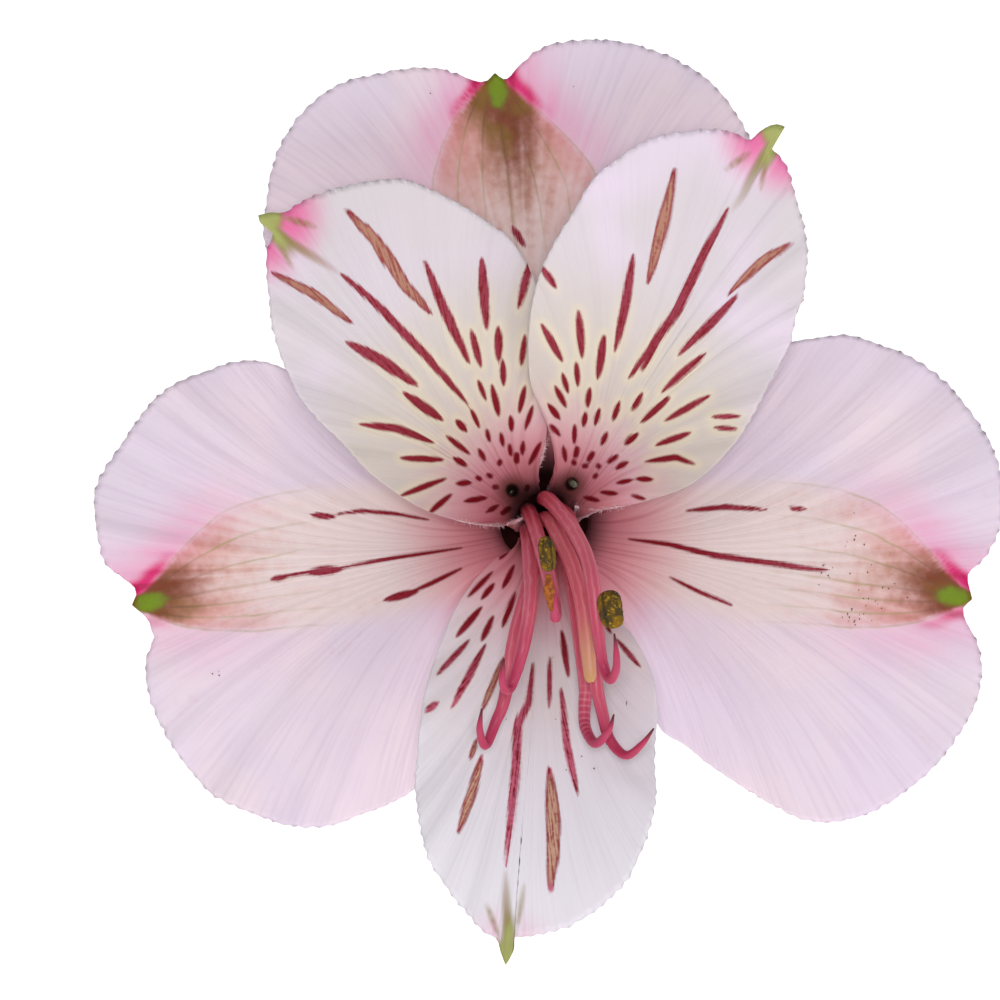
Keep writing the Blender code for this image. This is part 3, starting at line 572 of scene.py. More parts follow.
def tepal_grid(name, shape):
    """Points over a tepal along the flower's axes, with the place of each one on it."""
    angle, rise = math.radians(shape["angle"]), shape["rise"]
    outward = np.array((math.cos(angle), math.sin(angle)))
    leftward = np.array((-outward[1], outward[0]))
    claw = outward * rise[0][0]
    half_width, channel = OUTER_CLAW if name.startswith("outer") else INNER_CLAW

    def as_built(drawn):
        flat = undrawn(drawn)
        return flat * true_share(rise_at(rise, np.linalg.norm(flat, axis=-1, keepdims=True)))

    tip = as_built(shape["tip"])
    sides = []
    for side, key in ((-1, "right"), (1, "left")):
        foot = claw + leftward * half_width * side - outward * channel
        line = smooth_path(np.vstack([foot, as_built(shape[key]), tip]), MARGIN_STEPS)
        sides.append(evenly(line[int(MARGIN_STEPS * CLAW_LENGTH_SHARE):], TEPAL_COLUMNS // 2 + 1))
    margin = toothed(np.vstack([sides[0], sides[1][-2::-1]]), shape["angle"])
    across = np.linspace(-1, 1, len(margin))
    foot = claw + leftward * half_width * across[:, None] - outward * channel * across[:, None] ** 2
    midrib = unit(tip - claw)
    sideways = np.array((-midrib[1], midrib[0]))
    reach = margin - foot
    ahead = np.maximum(reach @ midrib, RAY_LEAST_AHEAD * np.linalg.norm(reach, axis=1))
    bend = foot + midrib * 0.5 * ahead[:, None]
    u = np.linspace(0, 1, RAY_STEPS)[:, None, None]
    rays = (1 - u) ** 2 * foot + 2 * u * (1 - u) * bend + u**2 * margin
    from_axis = np.linalg.norm(rays, axis=2)
    level = rise_at(rise, from_axis)
    level = level - level[:1] * (1 - u[:, :, 0])
    if name.startswith("inner"):
        lip = CLAW_LIP * smoothstep(*LIP_FADE, from_axis[-1])
        level = np.maximum(level, lip * u[:, :, 0])
    aside = (rays - claw) @ sideways
    level += shape["tilt"] * aside + shape["cup"] * aside**2
    share = np.linspace(0, 1, TEPAL_ROWS) ** ROW_CROWDING
    solid = np.dstack([rays, level]).swapaxes(0, 1)
    grid = np.stack([spaced_by(ray, share) for ray in solid], axis=1)
    ripple = waves(np.linspace(0, RIPPLE_RUN, len(margin)), shape["angle"] + 5)
    ripple *= smoothstep(*RIPPLE_OFF_TIP, np.linalg.norm(margin - tip, axis=1))
    grid[:, :, 2] += RIPPLE_HEIGHT * ripple * share[:, None] ** 4
    place = grid[:, :, :2] - claw
    return SimpleNamespace(
        grid=grid,
        from_tip=np.linalg.norm(tip - claw) - place @ midrib,
        aside=place @ sideways,
        to_tip=np.linalg.norm(grid[:, :, :2] - tip, axis=2),
        share=np.broadcast_to(share[:, None], grid.shape[:2]),
        across=np.broadcast_to(across, grid.shape[:2]),
        from_axis=np.linalg.norm(grid[:, :, :2], axis=2),
    )


def streak_distance(place, streaks):
    """How far each point lies outside the nearest streak, in millimetres, less than 0 inside it.

    Also how near each point is to the middle of that streak's length, from 0 at its ends to 1.
    """
    nearest = np.full(place.shape[:2], NO_STREAK)
    middle = np.zeros(place.shape[:2])
    for width, *numbers in streaks:
        line = undrawn(np.reshape(numbers, (-1, 2)))
        lengths = np.linalg.norm(np.diff(line, axis=0), axis=1)
        ends = np.concatenate([[0], np.cumsum(lengths)]) / lengths.sum()
        blunt = smoothstep(*STREAK_BLUNT, lengths.sum())
        for a, b, start, end in zip(line, line[1:], ends, ends[1:]):
            step = b - a
            u = np.clip(((place - a) @ step) / (step @ step), 0, 1)
            off = np.linalg.norm(place - a - u[..., None] * step, axis=2)
            share = start + (end - start) * u
            swell = 4 * share * (1 - share)
            body = np.maximum(blunt, swell**STREAK_SWELL) * (1 - STREAK_END_SHARE) + STREAK_END_SHARE
            distance = off - 0.5 * width * SQUARE * body - STREAK_BLEED
            middle = np.where(distance < nearest, swell, middle)
            nearest = np.minimum(nearest, distance)
    return nearest, middle


def quads_of(index):
    quads = np.stack([index[:-1, :-1], index[1:, :-1], index[1:, 1:], index[:-1, 1:]], axis=-1)
    return quads.reshape(-1, 4)


def loop_of(index):
    return np.concatenate([index[:, 0], index[-1, 1:], index[-2::-1, -1], index[0, -2:0:-1]])


def sheet_mesh(name, grid, thickness, front_values, back_values):
    """A closed thin solid about a grid: a fine front, a coarser back and a rim."""
    size = grid.shape[:2]
    normal = unit(np.cross(np.gradient(grid, axis=0), np.gradient(grid, axis=1)))
    half = normal * (thickness / 2)[..., None]
    keep = np.ix_(*(np.unique(np.append(np.arange(0, side, BACK_STEP), side - 1)) for side in size))
    back = (grid - half)[keep]
    index = np.arange(size[0] * size[1]).reshape(size)
    behind = np.arange(back.size // 3).reshape(back.shape[:2]) + index.size
    outer, inner = loop_of(index), loop_of(behind)
    kept = np.isin(outer, index[keep])
    spot = np.cumsum(kept) - 1
    after, moves = np.roll(outer, -1), np.roll(kept, -1)
    near, far = inner[spot % len(inner)], inner[(spot + 1) % len(inner)]
    faces = [
        quads_of(index),
        quads_of(behind)[:, ::-1],
        np.stack([after, outer, near, near], axis=1),
        np.stack([after[moves], near[moves], far[moves], far[moves]], axis=1),
    ]
    points = np.vstack([(grid + half).reshape(-1, 3), back.reshape(-1, 3)])
    values = {}
    for key, front in front_values.items():
        kind = (-1, *front.shape[2:])
        values[key] = np.concatenate([front.reshape(kind), back_values[key][keep].reshape(kind)])
    return new_mesh(name, points, faces, values)


def add_object(name, data):
    made = bpy.data.objects.new(name, data)
    bpy.context.scene.collection.objects.link(made)
    return made


def new_mesh(name, points, faces, values=None):
    """A smooth object from points in millimetres, with values stored for each point.

    A face has four corners, or three and the last one again.
    """
    corners = [face[:3] if face[3] == face[2] else face for face in np.vstack(faces).tolist()]
    mesh = bpy.data.meshes.new(name)
    mesh.from_pydata((np.asarray(points) * MM).tolist(), [], corners)
    mesh.shade_smooth()
    for key, numbers in (values or {}).items():
        kind, field = ("FLOAT_VECTOR", "vector") if numbers.ndim == 2 else ("FLOAT", "value")
        stored = mesh.attributes.new(key, kind, "POINT")
        stored.data.foreach_set(field, np.ascontiguousarray(numbers, np.float32).ravel())
    return add_object(name, mesh)


def tube_mesh(name, path, sides, ribs=0, rib_depth=0.0, slant=0.0, wobble=0.0, seed=0):
    """A closed solid along a path of centres and radii; a slant tilts its last end."""
    centres, radii = path[:, :3], path[:, 3]
    along = unit(np.gradient(centres, axis=0))
    share = np.linspace(0, 1, len(path))
    turn = np.linspace(0, 2 * math.pi, sides, endpoint=False)
    side = unit(np.cross(along[0], TUBE_START))
    rings = []
    for ahead in along:
        side = unit(side - ahead * (side @ ahead))
        rings.append(np.outer(np.cos(turn), side) + np.outer(np.sin(turn), np.cross(ahead, side)))
    rough = 1 + wobble * waves(share * WOBBLE_RUN, seed)
    radius = np.outer(radii * rough, 1 + rib_depth * np.cos(ribs * turn))
    lift = np.outer(share**12, np.sin(turn) * radii[-1] * slant)
    rings = centres[:, None] + np.array(rings) * radius[..., None] + along[:, None] * lift[..., None]
    points = np.vstack([rings.reshape(-1, 3), centres[0], rings[-1].mean(axis=0)])
    index = np.arange(len(path) * sides).reshape(-1, sides)
    wrapped = np.hstack([index, index[:, :1]])
    faces = [quads_of(wrapped)[:, ::-1]]
    for middle, rim in ((index.size, wrapped[0, ::-1]), (index.size + 1, wrapped[-1])):
        faces.append(np.stack([np.full(sides, middle), rim[:-1], rim[1:], rim[1:]], axis=1))
    return new_mesh(name, points, faces, {
        "reach": np.append(np.repeat(share, sides), (0, 1)),
        "turn": np.append(np.tile(turn, len(path)), (0, 0)),
    })


# Materials

COLOURS = {
    "lavender": "E0D1E1", "deep lavender": "CFB9D0", "blush": "E8D6DF", "fan ground": "E6D4CF",
    "throat pink": "E58A94", "throat band": "B95A66", "painted throat shade": "2C1412",
    "rosy": "CC7A62", "brown": "78381A", "olive brown": "82601C", "olive": "8C8648",
    "dark vein": "6A4632", "olive vein": "A59C68", "green": "718A0C", "deep green": "6C7020",
    "red seam": "A0584C", "hook": "A8AE68", "deep hook": "8A7A3C",
    "magenta": "D8226E", "deep magenta": "A5123F", "pink": "E99CC0", "flush": "E26BA0",
    "white": "D4CBD0", "cream": "D0C6BE", "whiter": "ECE8F0",
    "streak red": "7E0C1C", "streak pink": "C4607A", "streak brown": "8E2C34",
    "streak tan": "A46E5C", "streak sand": "C69A84", "streak halo": "E4D6B8",
    "pit edge shade": "7A4A40", "pit": "140D08",
    "shaded thread foot": "5E1020", "thread red": "A82440", "thread mottle": "DC8796",
    "thread strand highlight": "E59AA8", "thread ring": "F0B4C4", "filament": "C8566C",
    "filament end": "B03458", "filament tip": "5A1C2A",
    "style": "C45A68", "style end": "CB9474", "style tip": "BE9060",
    "dark pollen": "4C3C1E", "brown pollen": "7C5C12", "gold pollen": "B08A22", "groove": "30281A",
    "grain": "8A5A30", "dark grain": "5C4A34", "hair": "F0DCDF", "pink hair": "DDA9B0",
    "nectar": "5C6450", "dark nectar": "23261C", "lobe": "B4672C", "dark lobe": "7E4420",
    "ovary": "8FB04A", "deep ovary": "5E8A34", "red ovary": "7A5A40",
    "stem": "86A650", "deep stem": "5C8436", "red stem": "80684A",
    "leaf": "4F7F33", "deep leaf": "3C6A2A", "leaf vein": "86A95A",
    "midrib": "9DB86C", "under leaf": "93AE78", "dry leaf": "8A7A3E",
}


def rgba(code):
    """A colour from its usual six-figure code, as the linear numbers that a shader takes."""
    levels = np.array([int(code[k:k + 2], 16) for k in (0, 2, 4)]) / 255
    linear = np.where(levels <= 0.04045, levels / 12.92, ((levels + 0.055) / 1.055) ** 2.4)
    return (*linear.tolist(), 1.0)


class Value:
    """What a material works out at each point, such as a number for sums or a colour."""

    def __init__(self, shade, socket):
        self.shade = shade
        self.socket = socket

    def maths(self, operation, other=0.0):
        node = self.shade.tree.nodes.new("ShaderNodeMath")
        node.operation = operation
        return self.shade.output(node, enumerate((self, other)))

    def __add__(self, other):
        return self.maths("ADD", other)

    def __sub__(self, other):
        return self.maths("SUBTRACT", other)

    def __mul__(self, other):
        return self.maths("MULTIPLY", other)

    def ramp(self, low, high, start=0.0, end=1.0):
        """A smooth change from start to end as the number goes from low to high."""
        node = self.shade.tree.nodes.new("ShaderNodeMapRange")
        node.interpolation_type = "SMOOTHSTEP"
        return self.shade.output(node, enumerate((self, low, high, start, end)))


class Shade:
    """A material with a Principled shader, whose colour is painted coat over coat."""

    def __init__(self, name, colour, roughness, subsurface=0.0, shine=0.18):
        self.material = bpy.data.materials.new(name)
        self.material.use_nodes = True
        self.tree = self.material.node_tree
        self.colour = colour
        self.inputs = self.tree.nodes["Principled BSDF"].inputs
        self.inputs["Roughness"].default_value = roughness
        self.inputs["Subsurface Weight"].default_value = subsurface
        self.inputs["Subsurface Radius"].default_value = (1.0, 0.6, 0.5)
        self.inputs["Subsurface Scale"].default_value = 0.0008
        self.inputs["Specular IOR Level"].default_value = shine

    def feed(self, socket, value):
        """Gives a socket a value of another node, a named colour or plain numbers."""
        if isinstance(value, Value):
            self.tree.links.new(value.socket, socket)
        else:
            socket.default_value = rgba(COLOURS[value]) if isinstance(value, str) else value

    def output(self, node, inputs=(), which=0):
        """Feeds the inputs of a node and gives back one of its outputs."""
        for key, value in inputs:
            self.feed(node.inputs[key], value)
        return Value(self, node.outputs[which])

    def value(self, name, output="Fac"):
        """What the mesh stores under a name."""
        node = self.tree.nodes.new("ShaderNodeAttribute")
        node.attribute_name = name
        return self.output(node, which=output)

    def mix(self, share, first, second):
        node = self.tree.nodes.new("ShaderNodeMix")
        node.data_type = "RGBA"
        return self.output(node, zip((0, 6, 7), (share, first, second)), 2)

    def paint(self, share, colour):
        self.colour = self.mix(share, self.colour, colour)

    def noise(self, scale, detail=3.0, stretch=(1.0, 1.0, 1.0), place=None):
        if place is None:
            place = self.output(self.tree.nodes.new("ShaderNodeTexCoord"), which="Object")
        mapping = self.tree.nodes.new("ShaderNodeMapping")
        spot = self.output(mapping, (("Vector", place), ("Scale", stretch)))
        node = self.tree.nodes.new("ShaderNodeTexNoise")
        return self.output(node, (("Vector", spot), ("Scale", scale), ("Detail", detail)))

    def vein_noise(self, across, along, detail=1.0):
        """Noise in streaks that run from a petal's or a leaf's foot to its margin."""
        return self.noise(1.0, detail, (across, along, 1.0), self.value("veins", "Vector"))

    def bump(self, height, strength, depth):
        node = self.tree.nodes.new("ShaderNodeBump")
        inputs = (("Strength", strength), ("Distance", depth * MM), ("Height", height))
        self.feed(self.inputs["Normal"], self.output(node, inputs))

    def finish(self):
        self.feed(self.inputs["Base Color"], self.colour)
        return self.material


def striations(shade):
    """Fine lines along the veins, from 0 to 1."""
    return shade.vein_noise(120.0, 2.6) * 0.7 + shade.vein_noise(38.0, 1.0) * 0.3


def paint_streaks(shade, lines):
    """A pale halo, soft red edges and, in some streaks, a tan middle."""
    loose, tan = shade.value("loose"), shade.value("tan")
    grain = shade.noise(3600.0, 1.0) - 0.5
    ragged = grain * loose.ramp(0.0, 1.0, 0.05, 0.08)
    edge = shade.value("streak") + ragged + (lines - 0.5) * loose * 0.42
    shade.paint(edge.ramp(0.75, 0.0) * shade.value("halo"), "streak halo")
    patchy = (shade.vein_noise(150.0, 9.0) + grain * 0.4).ramp(0.3, 0.6)
    faded = patchy * shade.value("pale")
    red = shade.mix(tan, shade.mix(faded, "streak red", "streak pink"), "streak brown")
    middle = edge.ramp(-0.02, -0.24) * tan * patchy.ramp(0.0, 1.0, 0.35, 1.0)
    dark = shade.mix(middle, red, shade.mix(faded, "streak tan", "streak sand"))
    shade.paint(edge.ramp(0.1, -0.12) * shade.value("depth"), dark)


def paint_throat(shade):
    """Pink towards the throat, with soft deeper bands along the veins, and painted shade inside it."""
    throat = shade.value("throat")
    shade.paint(throat * 0.95, "throat pink")
    shade.paint(shade.vein_noise(14.0, 0.5).ramp(0.45, 0.75, 0.0, 0.6) * throat, "throat band")
    # Painted shade deep in the throat, where the claws close in
    shade.paint(shade.value("deep"), "painted throat shade")


def paint_green(shade, lines, light, dark):
    green = shade.value("green") + lines * 0.4
    shade.paint(green.ramp(0.12, 0.95), shade.mix(green.ramp(0.3, 1.2), dark, light))


def petal_finish(shade, lines):
    shade.bump(lines + shade.noise(5200.0, 1.0) * 0.3, 0.25, 0.12)
    return shade.finish()


def outer_material():
    shade = Shade("lilac petal", "lavender", 0.5)
    lines = striations(shade)
    grain = shade.noise(1500.0, 2.0) - 0.5
    patch = shade.noise(420.0, 1.0) - 0.5
    strands = shade.vein_noise(34.0, 1.2) - 0.5
    shade.paint(shade.noise(140.0, 1.0).ramp(0.35, 0.7), "blush")
    shade.paint(lines.ramp(0.42, 0.7, 0.0, 0.35), "deep lavender")
    shade.paint(shade.value("fan") * 0.8, "fan ground")
    shade.paint(shade.value("wash") * (strands * 1.2 + 1.0), "pink")
    paint_throat(shade)
    brown = shade.value("brown")
    mottle = grain * 0.55 + patch * 0.5 + strands * 0.7
    browned = shade.mix(patch.ramp(-0.12, 0.2, 0.0, 0.75), "brown", "olive brown")
    shade.paint((shade.value("rosy") + mottle * 0.8).ramp(0.08, 0.95) * 0.72, "rosy")
    shade.paint((brown + mottle * 0.5).ramp(0.1, 0.72), browned)
    off_vein = (shade.value("rib") + patch * 0.2).maths("PINGPONG", 0.5) * shade.value("rib_gap")
    strength = shade.value("veined") * patch.ramp(-0.2, 0.2, 0.25, 0.6)
    vein = shade.mix(brown.ramp(0.05, 0.5), "olive vein", "dark vein")
    shade.paint(off_vein.ramp(0.15, 0.0) * strength, vein)
    paint_streaks(shade, lines)
    magenta = shade.mix(strands.ramp(0.02, 0.18, 0.0, 0.6), "magenta", "deep magenta")
    shade.paint((shade.value("flare") + strands * 0.5).ramp(0.15, 0.95), magenta)
    paint_green(shade, grain * 2.0, "green", "deep green")
    return petal_finish(shade, lines)


def inner_material():
    shade = Shade("cream petal", "white", 0.48)
    lines = striations(shade)
    shade.paint(shade.noise(140.0, 1.0).ramp(0.4, 0.7), "lavender")
    # On the bottom tepal the whiter coat is partly its own paler colour and partly painted light
    shade.paint(shade.value("whiter"), "whiter")
    shade.paint(shade.value("cream"), "cream")
    shade.paint(lines.ramp(0.45, 0.75, 0.0, 0.2), "deep lavender")
    paint_throat(shade)
    shade.paint((shade.value("flare") + lines * 0.25).ramp(0.25, 1.15), "flush")
    paint_streaks(shade, lines)
    seam = shade.value("olive").ramp(0.15, -0.3) * shade.value("seam")
    shade.paint(seam, shade.mix(lines.ramp(0.4, 0.65), "olive", "red seam"))
    paint_green(shade, lines - 0.5, "hook", "deep hook")
    # Painted shade of the nectar pit's hollow: a soft dark rim, then a nearly black middle
    shade.paint(shade.value("pit").ramp(1.4, 2.55, 0.0, 0.75), "pit edge shade")
    shade.paint(shade.value("pit").ramp(2.35, 2.65), "pit")
    return petal_finish(shade, lines)


def thread_material(name, middle, end, end_from, tip, ringed=False):
    """A stamen's or a style's: dark red at its foot, partly its own colour and partly painted shade of the
    throat, rose along its length, another colour at the tip.
    """
    shade = Shade(name, "shaded thread foot", 0.36, 0.25, 0.3)
    reach = shade.value("reach")
    mottle = shade.noise(700.0, 2.0)
    strands = ((shade.value("turn") + mottle * 0.8) * 7.0).maths("COSINE")
    shade.paint(reach.ramp(0.16, 0.34), "thread red")
    shade.paint(reach.ramp(0.34, 0.62), middle)
    shade.paint(mottle.ramp(0.45, 0.8, 0.0, 0.3), "thread mottle")
    # Light lengthwise strands: partly the thread's streaky texture, partly painted highlight
    shade.paint(strands.ramp(0.0, 1.0, 0.0, 0.28), "thread strand highlight")
    shade.paint(reach.ramp(end_from, end_from + 0.14), end)
    if ringed:
        rings = (reach * 520.0).maths("SINE").ramp(0.0, 1.0, 0.0, 0.22)
        shade.paint(rings * reach.ramp(0.76, 0.8) * reach.ramp(0.9, 0.85), "thread ring")
    shade.paint(reach.ramp(0.972, 0.995), tip)
    shade.bump(mottle, 0.2, 0.08)
    return shade.finish()


def anther_material():
    shade = Shade("pollen", "dark pollen", 0.85)
    grains = shade.noise(4200.0)
    groove = (shade.value("turn") * 2.0).maths("COSINE").maths("ABSOLUTE").ramp(0.55, 0.1)
    shade.paint(shade.noise(1100.0).ramp(0.42, 0.6), "brown pollen")
    shade.paint(grains.ramp(0.5, 0.75), "gold pollen")
    shade.paint(groove * 0.75, "groove")
    shade.bump(grains, 0.9, 0.12)
    return shade.finish()


def speckled_material(name, roughness, first, second, scale, shine=0.18):
    shade = Shade(name, first, roughness, shine=shine)
    speckle = shade.noise(scale)
    shade.paint(speckle.ramp(0.35, 0.65), second)
    shade.bump(speckle, 0.3, 0.05)
    return shade.finish()


def green_material(kind, throat=False):
    shade = Shade(kind + " green", kind, 0.42, 0.1, 0.0 if throat else 0.18)
    lines = shade.noise(900.0, 3.0, (1.0, 0.06, 1.0))
    cloud = shade.noise(160.0)
    shade.paint(cloud.ramp(0.3, 0.7), "deep " + kind)
    shade.paint(lines.ramp(0.45, 0.7, 0.0, 0.4), kind)
    shade.paint(cloud.ramp(0.6, 0.85, 0.0, 0.35), "red " + kind)
    # The ovary's top, deep in the throat, is painted shade
    if throat:
        shade.paint(shade.value("reach").ramp(0.22, 0.08), "painted throat shade")
    shade.bump(lines, 0.25, 0.12)
    return shade.finish()


def leaf_material():
    shade = Shade("green leaf", "leaf", 0.45, 0.1)
    veins = shade.vein_noise(34.0, 0.5, 2.0)
    shade.paint(shade.noise(120.0).ramp(0.3, 0.7), "deep leaf")
    shade.paint(veins.ramp(0.5, 0.75, 0.0, 0.6), "leaf vein")
    shade.paint(shade.value("midrib") * 0.6, "midrib")
    shade.paint(shade.value("under") * 0.5, "under leaf")
    shade.paint(shade.value("along").ramp(0.96, 1.0, 0.0, 0.7), "dry leaf")
    shade.bump(veins, 0.35, 0.12)
    return shade.finish()


# Pieces

def place(piece, node, slot, material):
    piece.data.materials.append(material)
    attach(piece, "root")
    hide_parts(node)


def fan_values(name, parts):
    """The veined fan of an outer tepal: its ground, veins, brown tip and pink edges.

    The ranges are millimetres from the tip, from the midrib or beyond the fan's edge.
    """
    side, broad, slim, slim_red, brown_reach, rosy_reach = FANS[name]
    aside, to_tip, from_tip = parts.aside * side, parts.to_tip, parts.from_tip
    distance, wide, thin = dense_curve(FAN_WIDTHS).T
    is_broad = smoothstep(-0.3, 0.3, aside)
    half_width = np.interp(from_tip, distance, wide) * broad * is_broad
    half_width += np.interp(from_tip, distance, thin) * slim * (1 - is_broad)
    lens = aside / half_width
    beyond = (np.abs(lens) - 1) * half_width
    sharp = smoothstep(0.35, -0.45, beyond)
    sided = slim_red + (1 - slim_red) * is_broad
    edge = bell(beyond - 0.6, 2.7) * smoothstep(15.0, 2.0, to_tip)
    hot = bell(beyond - 0.3, 0.95) * smoothstep(6.5, 2.0, to_tip) * smoothstep(-0.9, 0.4, beyond)
    tongue = bell(from_tip, brown_reach) * bell(aside - 0.6, 2.6)
    vein_length = smoothstep(0.8, 2.5, from_tip) * smoothstep(17.0, 7.0, from_tip)
    return {
        "fan": smoothstep(0.9, -1.0, beyond) * smoothstep(31.0, 22.0, from_tip),
        "wash": 0.85 * edge * sided,
        "flare": hot * sided,
        "rosy": sharp * bell(to_tip, rosy_reach),
        "brown": sharp * np.maximum(bell(to_tip, 3.8), 0.9 * tongue),
        "rib": np.interp(lens, *np.transpose(FAN_VEINS)),
        "rib_gap": half_width * 0.33,
        "veined": smoothstep(0.35, -0.1, beyond) * vein_length,
        "green": smoothstep(1.3, 0.35, np.hypot((from_tip - 1.3) / 1.6, aside / 0.85)),
    }


def tepal_values(name, parts):
    """What the petal materials need at each point of the grid; the ranges are millimetres."""
    to_tip, from_axis = parts.to_tip, parts.from_axis
    seen = drawn_place(parts.grid)
    whole = np.ones_like(to_tip)
    pale, warm, white, flushed = TEPAL_LOOKS.get(name, USUAL_LOOK)
    tan, tan_middle = streak_distance(seen, TAN_STREAKS.get(name, ()))
    red = streak_distance(seen, RED_STREAKS[name])[0]
    values = {
        "veins": np.dstack([parts.across, parts.share * 2, 0 * whole]),
        "streak": np.minimum(np.minimum(tan, red), 1.0),
        "tan": smoothstep(0.05, -0.05, tan - red) * smoothstep(0.12, 0.5, tan_middle),
        "depth": whole,
        "pale": pale * smoothstep(8.0, 16.0, from_axis),
        "loose": smoothstep(8.0, 18.0, from_axis),
    }
    if name.startswith("outer"):
        return values | fan_values(name, parts) | {
            "throat": smoothstep(12.5, 4.0, from_axis),
            # painted shade of the throat on the claw
            "deep": smoothstep(*THROAT_SHADE_REACH[name], from_axis),
            "halo": 0 * whole,
        }
    cream = warm * smoothstep(6.0, 10.0, from_axis) * smoothstep(20.0, 13.0, from_axis)
    midrib = bell(parts.aside, 0.6)
    off_pit = np.linalg.norm(seen - undrawn(PITS.get(name, (0, 0))), axis=2)
    return values | {
        "throat": smoothstep(11.0, 2.8, from_axis),
        # painted shade of the throat at the claw's foot
        "deep": smoothstep(2.2, 1.2, from_axis + parts.grid[:, :, 2] * 0.1),
        "whiter": white * whole,
        "cream": cream,
        "halo": 0.6 * cream,
        "flare": flushed * smoothstep(7.0, 1.5, to_tip) * (1 - 0.5 * midrib),
        "green": np.maximum(smoothstep(2.4, 1.2, to_tip), midrib * smoothstep(5.0, 2.0, to_tip)),
        "olive": streak_distance(seen, OLIVE_VEINS[name])[0],
        "seam": 0.9 * smoothstep(9.0, 2.5, to_tip),
        # how near the nectar pit, for its painted shade
        "pit": np.maximum(3.0 - off_pit, 0),
    }


def grain_mesh(name, parts):
    """Specks of pollen that lie on a tepal, as small eight-sided grains."""
    rng = np.random.default_rng(len(name))
    seen = drawn_place(parts.grid)
    corners = np.vstack([np.eye(3), -np.eye(3)])
    points, faces = [], []
    for x, y, spread, count in GRAINS[name]:
        for spot in undrawn(rng.normal((x, y), spread, (count, 2))):
            nearest = np.linalg.norm(seen - spot, axis=2).argmin()
            centre = parts.grid.reshape(-1, 3)[nearest] + (0, 0, GRAIN_LIFT)
            faces += [[len(points) + corner for corner in side] for side in GRAIN_SIDES]
            points += list(from_flower(centre + corners * rng.uniform(*GRAIN_RADIUS)))
    return new_mesh(name + "_grains", points, [faces])


def add_tepals():
    """The six tepals with the pollen on them; gives back the margin of each."""
    materials = {"outer_tepal": outer_material(), "inner_tepal": inner_material()}
    grain = speckled_material("pollen grain", 0.8, "grain", "dark grain", 2000.0)
    margins = {}
    for name, shape in TEPALS.items():
        parts = tepal_grid(name, shape)
        body, tip = TEPAL_THICKNESS - MARGIN_THICKNESS, TIP_THICKNESS - MARGIN_THICKNESS
        thickness = MARGIN_THICKNESS + body * smoothstep(0.0, 0.35, 1 - parts.share)
        thickness += tip * bell(parts.to_tip, 1.1)
        front = tepal_values(name, parts)
        back = {key: numbers * BACK_SHARES.get(key, 1) for key, numbers in front.items()}
        relief = np.cos(parts.across * VEINS_ACROSS * math.pi) * VEIN_RELIEF
        parts.grid[:, :, 2] += relief * smoothstep(0.2, 0.7, parts.share)
        made = sheet_mesh(name + "_petal", from_flower(parts.grid), thickness, front, back)
        slot = "outer_tepal" if name.startswith("outer") else "inner_tepal"
        place(made, name, slot, materials[slot])
        margins[name] = parts.grid[-1]
        if name in GRAINS:
            place(grain_mesh(name, parts), name, "anther", grain)
    return margins


def add_stamens():
    colours = ("filament", "filament end", 0.74, "filament tip")
    plain = thread_material("rose filament", *colours)
    ringed = thread_material("ringed filament", *colours, ringed=True)
    for name, (angle, points) in FILAMENTS.items():
        turn = math.radians(angle)
        foot = (FILAMENT_RING * math.cos(turn), FILAMENT_RING * math.sin(turn), 0)
        path = flower_path([foot, *undrawn_with_height(points)], FILAMENT_RADII, 160)
        made = tube_mesh(name + "_thread", path, 20, wobble=0.03, seed=angle)
        place(made, name, "stamen", ringed if name == RINGED_FILAMENT else plain)
    pollen = anther_material()
    for name, (*points, half_width) in ANTHERS.items():
        share = np.linspace(0, 1, 40)
        radii = half_width * np.sqrt(np.clip(1 - (2 * share - 1) ** 4, 0.004, 1))
        path = flower_path(undrawn_with_height(points), list(zip(share, radii)), len(share))
        made = tube_mesh(name + "_pollen", path, 48, ribs=2, rib_depth=0.16, wobble=0.04, seed=3)
        place(made, name, "anther", pollen)
    style = thread_material("style", "style", "style end", 0.84, "style tip")
    path = flower_path(undrawn_with_height(STYLE), STYLE_RADII, 150)
    place(tube_mesh("style_thread", path, 24, ribs=3, rib_depth=0.05), "style", "stamen", style)


def hair_mesh(name, path, seed):
    """Short pointed hairs that stand out of a line."""
    rng = np.random.default_rng(seed)
    line = evenly(path, HAIRS)
    points, faces = [], []
    for spot, ahead in zip(line, unit(np.gradient(line, axis=0))):
        reach = rng.uniform(*HAIR_LENGTH)
        away = unit(np.cross(ahead, rng.normal(size=3)))
        side = unit(np.cross(away, ahead)) * HAIR_RADIUS
        other = np.cross(away, side)
        root = spot + away * HAIR_ROOT
        faces += [[len(points) + corner for corner in face] for face in HAIR_SIDES]
        points += [root + side, root - side * 0.5 + other, root - side * 0.5 - other]
        points.append(root + away * reach + ahead * rng.uniform(-HAIR_LEAN, HAIR_LEAN))
    return new_mesh(name, points, [faces])


def add_rims(margins):
    """The pale rims and hairs on both margins of the claws that have a pit."""
    rim = speckled_material("claw hairs", 0.5, "hair", "pink hair", 2500.0)
    for name in PITS:
        margin = margins[name]
        half = len(margin) // 2
        for number, side in enumerate((margin[:half], margin[:half:-1])):
            near = np.linalg.norm(side[:, :2], axis=1) < RIM_REACH
            high = side[:, 2] > CLAW_LIP * 0.6
            route = flower_path(side[near & high][::4], RIM_RADII, 90)
            made = tube_mesh(f"{name}_rim_{number}", route, 10, wobble=0.3, seed=number)
            hairs = hair_mesh(f"{name}_hairs_{number}", route[:, :3], number)
            place(made, name, "inner_tepal", rim)
            place(hairs, name, "inner_tepal", rim)


